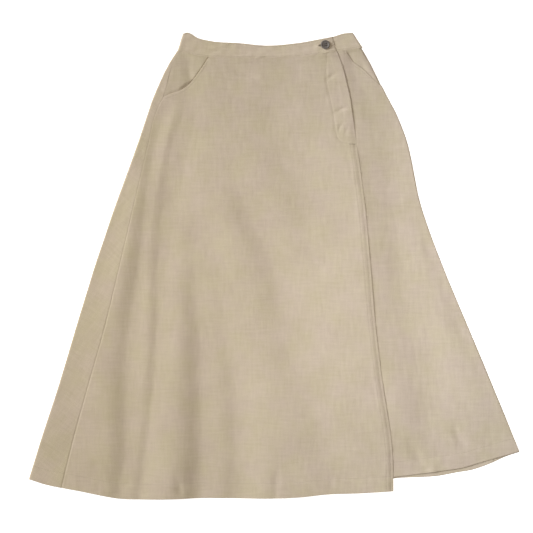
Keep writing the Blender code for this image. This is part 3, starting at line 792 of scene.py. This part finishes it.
def thicknessOf(shape, *turns):
    # plain cloth, thicker where it is turned in: distance from each fold, and where the turned part ends
    most = np.zeros(shape)
    for distance, ends in turns:
        most = np.maximum(most, ramp(distance, *ends))
    return stack["shell"] + (stack["turned"] - stack["shell"]) * most


def aboveHem(points, upper, hem):
    # the first columns end at this hem, and the rest at the back's
    x, y = points[..., 0], points[..., 1]
    return y - np.where(np.arange(len(x))[:, None] < upper, edgeY(hem, x), edgeY("backHem", x))


frontTop = (0, 0.3, 0.8, 2, 4, 5.3, 6, 6.7, 8, 10, 13, 16)
turnedHem = (44, 40, 36, 33, 31, 30, 29, 27, 24, 20, 16, 12, 8, 5, 2.5, 0.8, 0.3, 0)
lappedFront = {
    "across": 112, "beside": 56, "besideFrom": 0.84,
    "edgeSteps": (19, 17, 15.5, 14.75, 14, 13.25, 12, 10, 8, 6.75, 6, 5.25, 4, 2, 0.8, 0.3, 0),
    "nearTop": frontTop, "rows": 200, "nearHem": turnedHem,
}


def makeLappedFront():
    spec = lappedFront
    steps, close = spec["edgeSteps"], spec["besideFrom"]
    main = [*np.linspace(0, close, spec["across"])[:-1], *np.linspace(close, 1, spec["beside"] + 1)[:-1]]
    shape = (lapTop, edgeAt("lapHem"), lapSurface, spec)
    points = np.concatenate([
        sheetPart(lineAt("leftSeam", stack["seam"] / 2), lineAt("lapEdge", -steps[0]), main, *shape),
        sheetPart(lineAt("lapEdge"), lineAt("lapEdge", -1), steps, *shape)])
    x, y = points[..., 0], points[..., 1]
    fromHem, fromEdge, fromTop = y - edgeY("lapHem", x), lineX("lapEdge", y) - x, lapTop(x) - y
    thickness = thicknessOf(x.shape, (fromHem, sewing["hemTurned"]), (fromEdge, sewing["lapTurned"]),
                            (fromTop, sewing["topTurned"]))
    atMouth = x < edges["leftMouth"][-1][0]
    fromFold = np.minimum(np.minimum(fromHem, fromEdge), np.where(atMouth, fromTop, farOff))
    return makeCloth("lapped_front_cloth", points, points[..., :2], thickness * foldedRim(fromFold), outerLinen)


underFront = {
    "hidden": 42, "shown": 76, "round": 8, "strip": 10,
    "nearTop": frontTop, "rows": 176, "nearHem": turnedHem,
}


def makeUnderFront():
    spec = underFront
    turn = foldInset("rightFold", underForm, 1)
    shape = (underTop, edgeAt("underHem"), underSurface, spec)
    top = sheetPart(lineAt("innerEdge"), lineAt("lapEdge", -4), even(spec["hidden"])[:-1], *shape)
    side = sheetPart(lineAt("lapEdge", -4), turn, even(spec["shown"]), *shape)
    below = sheetPart(turn, lineAt("rightSeam", stack["seam"] / 2), even(spec["strip"]), underTop,
                      edgeAt("backHem"), groundSurface, spec)
    points = np.concatenate([top, side, halfRound(side[-1], below[0], 1, spec["round"]), below])
    flat = len(top) + len(side)
    weave = points[..., :2].copy()
    weave[flat:] = laidBack(points[flat:], "rightFold")
    x, y = points[..., 0], points[..., 1]
    fromHem, fromTop = aboveHem(points, flat, "underHem"), underTop(x) - y
    thickness = thicknessOf(x.shape, (fromHem, sewing["hemTurned"]), (fromTop, sewing["topTurned"]),
                            (x - lineX("innerEdge", y), sewing["innerTurned"]))
    atMouth = x > edges["rightMouth"][0][0]
    fromFold = np.minimum(fromHem, np.where(atMouth, fromTop, farOff))
    return makeCloth("under_front_cloth", points, weave, thickness * foldedRim(fromFold), underLinen)


backPanel = {
    "strip": 18, "round": 8, "floor": 108,
    "nearTop": (0, 0.8, 2, 4, 6, 8, 10, 13, 16), "rows": 176, "nearHem": turnedHem,
}


def makeBackPanel():
    spec = backPanel
    turn = foldInset("leftFold", lapForm, -1)
    strip = sheetPart(lineAt("leftSeam", -stack["seam"] / 2), turn, even(spec["strip"]), panelTop,
                      edgeAt("lapHem"), lapSurface, spec)
    floor = sheetPart(turn, lineAt("rightSeam", -stack["seam"] / 2), even(spec["floor"]), panelTop,
                      edgeAt("backHem"), groundSurface, spec)
    points = np.concatenate([strip, halfRound(strip[-1], floor[0], -1, spec["round"]), floor])
    rolled = len(points) - len(floor)
    weave = points[..., :2].copy()
    weave[:rolled] = laidBack(points[:rolled], "leftFold")
    weave[..., 0] *= -1
    fromHem = aboveHem(points, rolled, "lapHem")
    thickness = thicknessOf(fromHem.shape, (fromHem, sewing["hemTurned"])) * foldedRim(fromHem)
    return makeCloth("back_panel_cloth", points, weave, thickness, backLinen)


pockets = {
    "columns": 72, "round": 8, "bagInset": 10, "turnDown": 5,
    "edgeSteps": (0, 0.3, 0.8, 1.5, 2.4, 3.4, 4.6, 6),
    "nearTop": (0, 1, 2.5, 5), "rows": 110, "nearHem": (6, 4, 2, 1, 0),
}


def makePocket(name, seam, inner, side, mouthTop, bagHem, facing, bag):
    # hip facing with the bag behind it, folded at the bag's inner side
    spec = pockets
    steps, parts, hem = spec["edgeSteps"], even(spec["columns"]), edgeAt(bagHem)
    turn = lineAt(inner, -side * (stack["layer"] + stack["turned"]) / 2)
    gap = stack["seam"]
    shape = (panelTop, hem, facing, spec)
    edge = sheetPart(lineAt(seam, side * gap), lineAt(seam, side * (gap + 1)), steps[:-1], *shape)
    front = sheetPart(lineAt(seam, side * (gap + steps[-1])), turn, parts, *shape)
    back = sheetPart(turn, lineAt(seam, side * spec["bagInset"]), parts,
                     lambda x: mouthTop(x) - spec["bagInset"], hem, bag, spec)
    points = np.concatenate([edge, front, halfRound(front[-1], back[0], side, spec["round"]), back])
    return makeCloth(name, points, points[..., :2], thicknessOf(points.shape[:2]), pocketLinen)


placketFacing = {"columns": 18, "foot": 236, "nearTop": (0, 2, 4), "rows": 90, "nearHem": (4, 2, 0)}


def makePlacket():
    spec = placketFacing
    points = sheetPart(lineAt("placketLine"), lineAt("lapEdge", -0.6), even(spec["columns"]), lapTop,
                       lambda x: np.full_like(x, spec["foot"]), placketSurface, spec)
    thickness = np.full(points.shape[:2], stack["placket"])
    return makeCloth("placket_cloth", points, points[..., :2], thickness, pocketLinen)


waistband = {
    "inner": 118, "back": 150, "outer": 160, "round": 8, "thickness": 1.2,
    "rows": (0, 0.03, 0.07, 0.1, 0.16, 0.24, 0.33, 0.42, 0.5, 0.58, 0.67, 0.76, 0.84, 0.9, 0.93, 0.97, 0.99, 1),
    "slotLength": 17, "slotWidth": 2.0, "slotX": 97.8, "slotY": 440.0, "slotTurn": 10,
}


def bandPoint(x, share):
    # this share of the way up a line across the band, from the waist seam
    lean = tableAt(bandLean, x)
    seam = edgeY("waistSeam", x) + stack["seam"] / 2
    top = edgeY("bandTop", x + lean)
    return x + lean * share, seam + (top - seam) * share, top - seam


def bandPart(start, end, count, surface):
    # columns of points from the waist seam to the top edge
    rows = np.array(waistband["rows"])[None, :]
    x, y, height = bandPoint(np.linspace(start, end, count + 1)[:, None], rows)
    z = surface(x, y)
    for up in (rows * height, height - rows * height):
        z = z + groove(up - sewing["bandStitch"])
    return np.stack([x, y, z], 2)


def bandOuter(x, y):
    return lapForm(x, y) + unevenness("bandOuter", x, y, 41)


def bandInner(x, y):
    return underForm(x, y) + unevenness("bandInner", x, y, 42)


def makeWaistband():
    spec = waistband
    rightTurn, leftTurn = (float(foldInset(*fold)(seamLevel))
                           for fold in (("rightFold", underForm, 1), ("leftFold", lapForm, -1)))
    inner = bandPart(float(lineX("innerEdge", seamLevel)), rightTurn, spec["inner"], bandInner)
    back = bandPart(rightTurn, leftTurn, spec["back"], lambda x, y: np.full_like(x, stack["ground"]))
    outer = bandPart(leftTurn, float(lineX("lapEdge", seamLevel)), spec["outer"], bandOuter)
    points = np.concatenate([inner, halfRound(inner[-1], back[0], 1, spec["round"]), back,
                             halfRound(back[-1], outer[0], -1, spec["round"]), outer])
    middle = points[:, points.shape[1] // 2]
    run = np.concatenate([[0], np.cumsum(np.linalg.norm(np.diff(middle, axis=0), axis=1))])[:, None]
    rise = np.linalg.norm(np.diff(points, axis=1), axis=2)
    climb = np.concatenate([np.zeros((len(points), 1)), np.cumsum(rise, axis=1)], 1)
    weave = np.stack([np.broadcast_to(run, climb.shape), climb], 2)
    fromFold = np.minimum(climb[:, -1:] - climb, run[-1] - run)
    return makeCloth("waistband_cloth", points, weave, spec["thickness"] * foldedRim(fromFold), bandLinenPaintedPaler)


def slotOutline(grow):
    # the buttonhole's rounded slit, this much wider all round
    turn = 2 * math.pi * even(48)[:-1]
    along, across = ((waistband[side] / 2 + grow) * np.sign(part) * np.abs(part) ** 0.8
                     for side, part in (("slotLength", np.cos(turn)), ("slotWidth", np.sin(turn))))
    lean = math.radians(waistband["slotTurn"])
    x = waistband["slotX"] + along * math.cos(lean) - across * math.sin(lean)
    y = waistband["slotY"] + along * math.sin(lean) + across * math.cos(lean)
    return np.stack([x, y], 1)


def cutOut(piece, cutterMesh, sharpAngle):
    # takes the cutter out of a piece
    cutter = addPiece("cutter", cutterMesh)
    modify(piece, "BOOLEAN", operation="DIFFERENCE", solver="EXACT", object=cutter)
    settle(piece)
    bpy.data.objects.remove(cutter)
    piece.data.set_sharp_from_angle(angle=math.radians(sharpAngle))


def cutButtonhole(band):
    # through the outer layer of the band only
    ring = slotOutline(0)
    x, y = ring.T
    low = (bandOuter(x, y) + bandInner(x, y)).mean() / 2
    count = len(ring)
    points = [(*p, z) for z in (low, low + 8) for p in ring]
    faces = [(k, (k + 1) % count, count + (k + 1) % count, count + k) for k in range(count)]
    faces += [tuple(range(count - 1, -1, -1)), tuple(range(count, 2 * count))]
    slit = bpy.data.meshes.new("slit")
    slit.from_pydata((np.array(points) * mm).tolist(), [], faces)
    cutOut(band, slit, stack["sharpAngle"])


def lathe(name, section, segments, at):
    # a turned shape: its section runs from one point on the axis to another
    points = [(0, 0, section[0][1])]
    for radius, z in section[1:-1]:
        points += [(radius * math.cos(t), radius * math.sin(t), z) for t in 2 * math.pi * even(segments)[:-1]]
    points.append((0, 0, section[-1][1]))
    last = len(points) - 1
    faces = []
    for k in range(segments):
        following = (k + 1) % segments
        faces += [(0, 1 + k, 1 + following), (last - segments + following, last - segments + k, last)]
        for a in range(1, last - segments, segments):
            faces.append((a + k, a + segments + k, a + segments + following, a + following))
    mesh = bpy.data.meshes.new(name)
    mesh.from_pydata(((np.array(points) + at) * mm).tolist(), [], faces)
    mesh.shade_smooth()
    return mesh


def buttonHeights():
    # of its underside, and of the band below that it is sewn to
    x, y, r = button["x"], button["y"], button["radius"]
    around = [(x + r * math.cos(a), y + r * math.sin(a)) for a in 2 * math.pi * even(12)] + [(x, y)]
    under = max(float(bandOuter(np.array(a), np.array(b))) for a, b in around)
    foot = float(bandInner(np.array(x), np.array(y)))
    return under + stack["turned"] / 2 + button["gap"], foot + stack["turned"] / 2


def holeAt(k):
    # place of one of the button's four holes, from its middle
    angle = math.radians(45 + 90 * k + button["holeTurn"])
    return button["holeSpread"] * np.array((math.cos(angle), math.sin(angle)))


def makeButton(material):
    at = np.array((button["x"], button["y"], buttonHeights()[0]))
    mesh = lathe("button_disc", button["section"], button["segments"], at)
    mesh.materials.append(material)
    piece = addPiece("button_disc", mesh)
    well, hole, flare = button["section"][0][1], button["hole"], button["holeFlare"]
    section = ((0, 4), (1.6, 4), (flare + 0.2, well + 0.15), (flare, well - 0.05), (hole, well - 0.45),
               (hole, -1), (0, -1))
    drills = bmesh.new()
    for k in range(4):
        drill = lathe("drill", section, 20, at + (*holeAt(k), 0))
        drills.from_mesh(drill)
        bpy.data.meshes.remove(drill)
    drilled = bpy.data.meshes.new("drills")
    drills.to_mesh(drilled)
    drills.free()
    cutOut(piece, drilled, 40)
    print("button turned and drilled")
    return piece


def strandCurve(name, strands, material):
    # round strands of thread, each one a list of points and a radius
    line = bpy.data.curves.new(name, "CURVE")
    line.dimensions, line.bevel_depth, line.bevel_resolution, line.use_fill_caps = "3D", mm, 2, True
    for points, radius in strands:
        spline = line.splines.new("POLY")
        spline.points.add(len(points) - 1)
        for place, point in zip(spline.points, points):
            place.co, place.radius = (*[c * mm for c in point], 1), radius
        spline.use_smooth = True
    carrier = addPiece(name, line)
    mesh = settled(carrier)
    bpy.data.objects.remove(carrier)
    bpy.data.curves.remove(line)
    mesh.name = name
    mesh.materials.clear()
    mesh.materials.append(material)
    return addPiece(name, mesh)


def makeButtonThread(material):
    # wrapped shank, and the strands that cross the button between its holes
    underside, foot = buttonHeights()
    x, y, thread = button["x"], button["y"], button["strand"]
    rise = underside - foot - 2 * thread
    steps = int(rise / button["coilPitch"] * 16)
    coil = [(x + button["coil"] * math.cos(math.pi * k / 8), y + button["coil"] * math.sin(math.pi * k / 8),
             foot + thread + rise * k / steps) for k in range(steps + 1)]
    strands = [([(x, y, foot), (x, y, underside)], button["shank"]), (coil, thread)]
    well = underside + button["section"][0][1]
    for first in (0, 2):
        start, run = holeAt(first), holeAt(first + 1) - holeAt(first)
        side = np.array((-run[1], run[0])) / np.linalg.norm(run)
        for k in range(button["strands"]):
            path = []
            for t in np.linspace(-0.12, 1.12, 17):
                part = min(max(t, 0.0), 1.0)
                bulge = math.sin(math.pi * part)
                at = start + run * part + side * (k - 1) * 2.1 * thread * (0.5 + bulge / 2)
                height = thread + 0.35 * bulge - 2.3 * max(-t, t - 1, 0) / 0.12
                path.append((x + at[0], y + at[1], well + height))
            strands.append((path, thread))
    return strandCurve("button_thread", strands, material)


stitching = {
    "step": 1.0, "proud": 0.05,
    # spacing and length of the stitches, radius of the thread, and how far each is turned
    "running": {"Pitch": 3.0 * mm, "Length": 2.5 * mm, "Thread": 0.22 * mm, "Turn": 0.0, "Wobble": 0.07},
    "satin": {"Pitch": 0.5 * mm, "Length": 2.1 * mm, "Thread": 0.24 * mm, "Turn": math.pi / 2, "Wobble": 0.12},
}


def stitchTree(material):
    tree = bpy.data.node_groups.new("stitches", "GeometryNodeTree")
    sockets = {"Rows": "Geometry", **dict.fromkeys(stitching["running"], "Float"), "Seed": "Int"}
    for label, kind in sockets.items():
        tree.interface.new_socket(label, in_out="INPUT", socket_type="NodeSocket" + kind)
    tree.interface.new_socket("Stitches", in_out="OUTPUT", socket_type="NodeSocketGeometry")
    making["tree"] = tree
    given = tree.nodes.new("NodeGroupInput").outputs
    rows = add("GeometryNodeMeshToCurve", {"Mesh": given["Rows"]})
    spots = add("GeometryNodeCurveToPoints", {"Curve": rows, "Length": given["Pitch"]}, mode="LENGTH")

    def spread(low, high, seedShift):
        seed = plus(given["Seed"], seedShift)
        return add("FunctionNodeRandomValue", {2: low, 3: high, "Seed": seed}, output=1, data_type="FLOAT")

    turn = plus(spread(times(given["Wobble"], -1.0), given["Wobble"], 1), given["Turn"])
    turnBy = add("FunctionNodeEulerToRotation", {0: add("ShaderNodeCombineXYZ", {"Z": turn})})
    along = add("FunctionNodeAlignRotationToVector", {"Vector": spots.node.outputs["Tangent"]}, axis="X")
    upright = add("FunctionNodeAlignRotationToVector", {"Rotation": along, "Vector": (0, 0, 1)}, axis="Z",
                  pivot_axis="X")
    facing = add("FunctionNodeRotateRotation", {"Rotation": upright, "Rotate By": turnBy},
                 rotation_space="LOCAL")
    half, flat = times(given["Length"], spread(0.44, 0.52, 2)), times(given["Thread"], 0.75)
    size = add("ShaderNodeCombineXYZ", {"X": half, "Y": given["Thread"], "Z": flat})
    grain = add("GeometryNodeMeshUVSphere", {"Segments": 6, "Rings": 4, "Radius": 1.0})
    grain = add("GeometryNodeSetShadeSmooth", {"Geometry": grain})
    grain = add("GeometryNodeTransform", {"Geometry": grain, "Rotation": (0, math.pi / 2, 0)})
    placed = add("GeometryNodeInstanceOnPoints", {"Points": spots, "Instance": grain, "Rotation": facing,
                                                  "Scale": size})
    real = add("GeometryNodeRealizeInstances", {"Geometry": placed})
    made = add("GeometryNodeSetMaterial", {"Geometry": real, "Material": material})
    setInputs(tree.nodes.new("NodeGroupOutput"), {"Stitches": made})
    return tree


def acrossRow(edge, offset, start, end):
    x = np.arange(start, end, stitching["step"])
    return np.stack([x, edgeY(edge, x) + offset], 1)


def downRow(line, offset, top, bottom):
    y = np.arange(top, bottom, -stitching["step"])
    return np.stack([lineX(line, y) + offset, y], 1)


def throughRow(points):
    # a smooth row through a few points
    points = np.array(points, float)
    run = np.concatenate([[0], np.cumsum(np.hypot(*np.diff(points, axis=0).T))])
    at = np.arange(0, run[-1], stitching["step"])
    return np.stack([curve(run, column, at) for column in points.T], 1)


def bandPlace(x, up):
    # a point of the band this far up from the waist seam, or down from its top edge if below 0
    height = bandPoint(x, 0)[2]
    return np.stack(bandPoint(x, (up < 0) + up / height)[:2], 1)


def bandRows():
    inset = sewing["bandStitch"]
    end = float(lineX("lapEdge", seamLevel)) - inset
    x = np.arange(-186, end, stitching["step"])
    height = float(np.diff(bandPlace(np.full(2, end), np.array([inset, -inset]))[:, 1])[0])
    up = inset + np.arange(0, height, stitching["step"])
    rows = [np.concatenate([bandPlace(x, np.full_like(x, inset)), bandPlace(np.full_like(up, end), up),
                            bandPlace(x[::-1], np.full_like(x, -inset))])]
    x = np.arange(end + 3, 176, stitching["step"])
    for level in (inset, -inset):
        inner = bandPlace(x, np.full_like(x, level))
        hidden = bandPlace(np.full_like(x, end + inset), np.full_like(x, level))[:, 0]
        rows.append(inner[inner[:, 0] > hidden + 1.5])
    return rows


def layOn(cloth, rows):
    # the rows set down on the upper face of a cloth, as points and the links between them
    tree = BVHTree.FromObject(cloth, bpy.context.evaluated_depsgraph_get())
    points, links = [], []
    for row in rows:
        last = None
        for x, y in row:
            place = tree.ray_cast(Vector((x * mm, y * mm, 0.2)), Vector((0, 0, -1)))[0]
            if place is None:
                last = None
                continue
            points.append((place.x, place.y, place.z + stitching["proud"] * mm))
            if last is not None:
                links.append((last, len(points) - 1))
            last = len(points) - 1
    return points, links


def sew(name, cloth, rows, satin, tree, seed):
    # all the stitches on one cloth
    whole = bmesh.new()
    for kind, paths in (("running", rows), ("satin", satin)):
        if not paths:
            continue
        points, links = layOn(cloth, paths)
        mesh = bpy.data.meshes.new(name)
        mesh.from_pydata(points, links, [])
        carrier = addPiece(name, mesh)
        rule = modify(carrier, "NODES", node_group=tree)
        values = {**stitching[kind], "Seed": seed}
        for item in tree.interface.items_tree:
            if item.in_out == "INPUT" and item.name in values:
                rule[item.identifier] = values[item.name]
        settle(carrier)
        whole.from_mesh(carrier.data)
        bpy.data.meshes.remove(carrier.data)
    mesh = bpy.data.meshes.new(name)
    whole.to_mesh(mesh)
    whole.free()
    mesh.materials.clear()
    mesh.materials.append(seamThreadToneAndShade)
    print(name, "sewn with", len(mesh.polygons) // 24, "stitches")
    return addPiece(name, mesh)


def threadMaterial(name, dark, light):
    material = startMaterial(name)
    place = add("ShaderNodeTexCoord", output="Object")
    drift, fibre = noise(place, 90.0, 3.0), noise(place, 5200.0)
    colour = mix(remap(plus(drift, fibre), 0.6, 1.4), dark, light)
    rough = remap(fibre, 0, 1, 0.62, 0.85)
    return finishMaterial(material, colour, rough, fibre, 0.5, 0.05, {"Sheen Weight": 0.2})


hornLook = {"dark": (0.060, 0.050, 0.043), "light": (0.190, 0.162, 0.138), "worn": (0.24, 0.21, 0.185)}


def hornMaterial(name):
    # dark grey-brown with streaks, and paler where its rim is rubbed
    material = startMaterial(name)
    middle = (button["x"] * mm, button["y"] * mm, 0)
    centred = vector("SUBTRACT", add("ShaderNodeTexCoord", output="Object"), middle)
    streaked = add("ShaderNodeMapping", {"Vector": centred, "Rotation": (0, 0, 0.6), "Scale": (180, 900, 300)})
    streak = remap(noise(streaked, 1.0, 4.0, 0.6, 0.6), 0.3, 0.7)
    colour = mix(streak, hornLook["dark"], hornLook["light"])
    away = vector("LENGTH", vector("MULTIPLY", centred, (1, 1, 0)), (0, 0, 0), output=1)
    scuff = noise(centred, 700.0, 3.0)
    worn = remap(times(remap(away, 7.0 * mm, 7.9 * mm), scuff), 0.45, 0.9, 0, 0.5)
    colour = mix(worn, colour, hornLook["worn"])
    return finishMaterial(material, colour, remap(scuff, 0, 1, 0.46, 0.72), scuff, 0.25, 0.05, {})


backCloth = makeBackPanel()
underCloth = makeUnderFront()
lapCloth = makeLappedFront()
bandCloth = makeWaistband()
leftPocket = makePocket("left_pocket_cloth", "leftSeam", "leftBag", 1, lapTop, "leftBagHem", leftFacing,
                        leftBagSurface)
rightPocket = makePocket("right_pocket_cloth", "rightRim", "rightBag", -1, underTop, "rightBagHem", rightFacing,
                         rightBagSurface)
placketCloth = makePlacket()
cutButtonhole(bandCloth)

# the seam thread is darker than the cloth: partly its own tone, partly painted shade that stands for the
# grooves its rows pull into the cloth
seamThreadToneAndShade = threadMaterial("linenThread", (0.25, 0.20, 0.135), (0.40, 0.33, 0.24))
darkThread = threadMaterial("buttonThread", (0.055, 0.045, 0.038), (0.14, 0.12, 0.10))
buttonDisc = makeButton(hornMaterial("buttonHorn"))
buttonThread = makeButtonThread(darkThread)


def sewAll():
    tree = stitchTree(seamThreadToneAndShade)
    up, below = sewing["hemStitch"], sewing["mouthStitch"]
    lap = [acrossRow("lapHem", up, -410, 234), throughRow(sewing["placketStitch"]),
           acrossRow("leftMouth", -below, -217, -134)]
    lap += [downRow("lapEdge", -inset, sewing["lapStitchTop"] - 2, -452) for inset in sewing["lapStitches"]]
    under = [acrossRow("underHem", up, 240, 480), acrossRow("rightMouth", -below, 143, 207)]
    tack, hole = throughRow(((150, 242), (163, 242))), slotOutline(1.0)
    jobs = {
        # name, cloth, rows of running stitches, rows of satin stitches
        "lap": ("lapped_front_stitches", lapCloth, lap, [tack]),
        "back": ("back_panel_stitches", backCloth, [acrossRow("lapHem", up, -484, -413)], []),
        "under": ("under_front_stitches", underCloth, under, []),
        "band": ("waistband_stitches", bandCloth, bandRows(), [np.concatenate([hole, hole[:1]])]),
    }
    return {key: sew(*job, tree, seed) for seed, (key, job) in enumerate(jobs.items(), 1)}


stitches = sewAll()

studio = {
    "key": 4.58, "keyColour": (0.942, 1.0, 1.074), "keySpread": 30, "keyFrom": (-0.86, 0.30, 0.425),
    "pool": 3.7, "poolSize": 0.4, "poolAt": (0.28, -0.07, 0.85),
    "sky": 0.165, "skyColour": (1.0, 0.80, 0.55), "floorGlow": 0.8, "floorHalf": 20.0,
    "cameraAt": (-0.015, -0.002, 2.517), "lens": 85,
}


def makeStage():
    half = studio["floorHalf"]
    mesh = bpy.data.meshes.new("floor")
    corners = [(-half, -half, 0), (half, -half, 0), (half, half, 0), (-half, half, 0)]
    mesh.from_pydata(corners, [], [(0, 1, 2, 3)])
    paper = startMaterial("paleFloor")
    looks = {"Base Color": (0.93, 0.93, 0.93, 1), "Roughness": 0.9, "Specular IOR Level": 0.1,
             "Emission Color": (1, 1, 1, 1), "Emission Strength": studio["floorGlow"]}
    setInputs(paper.node_tree.nodes["Principled BSDF"], looks)
    mesh.materials.append(paper)
    floor = addPiece("floor", mesh)

    key = addPiece("keyLight", bpy.data.lights.new("keyLight", "SUN"))
    key.data.energy, key.data.color = studio["key"], studio["keyColour"]
    key.data.angle = math.radians(studio["keySpread"])
    key.rotation_euler = Vector(studio["keyFrom"]).to_track_quat("Z", "Y").to_euler()
    pool = addPiece("poolLight", bpy.data.lights.new("poolLight", "AREA"))
    pool.data.energy, pool.data.size, pool.location = studio["pool"], studio["poolSize"], studio["poolAt"]

    world = bpy.data.worlds.new("studio")
    world.use_nodes = True
    sky = {"Color": (*studio["skyColour"], 1), "Strength": studio["sky"]}
    setInputs(world.node_tree.nodes["Background"], sky)

    camera = addPiece("camera", bpy.data.cameras.new("camera"))
    camera.data.lens, camera.location = studio["lens"], studio["cameraAt"]
    bpy.context.scene.world = world
    bpy.context.scene.camera = camera
    bpy.context.scene.view_settings.view_transform = "Standard"
    print("stage set")


makeStage()

cuts = (
    # cloth, node that it stands for, width and length of the cut, its area, what it lies on, its stitches
    (backCloth, "back_panel", (1.06, 0.90), 0.70, ("floor",), "back"),
    (underCloth, "front_underlap", (0.80, 0.90), 0.50, ("back_panel_cloth",), "under"),
    (lapCloth, "front_overlap", (0.70, 0.90), 0.45, ("back_panel_cloth", "under_front_cloth"), "lap"),
    (bandCloth, "waistband", (0.93, 0.032), None, ("floor",), "band"),
    (leftPocket, "pocket_left", (0.22, 0.21), None, ("back_panel_cloth",), None),
    (rightPocket, "pocket_right", (0.22, 0.21), None, ("back_panel_cloth",), None),
    (placketCloth, "placket", (0.05, 0.19), None, ("under_front_cloth",), None),
)
for piece in (*stitches.values(), buttonThread):
    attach(piece, "root")
for piece, node, size, area, below, rows in cuts:
    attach(piece, "root")
    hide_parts(node)
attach(buttonDisc, "root")
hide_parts("button")
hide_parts("button")
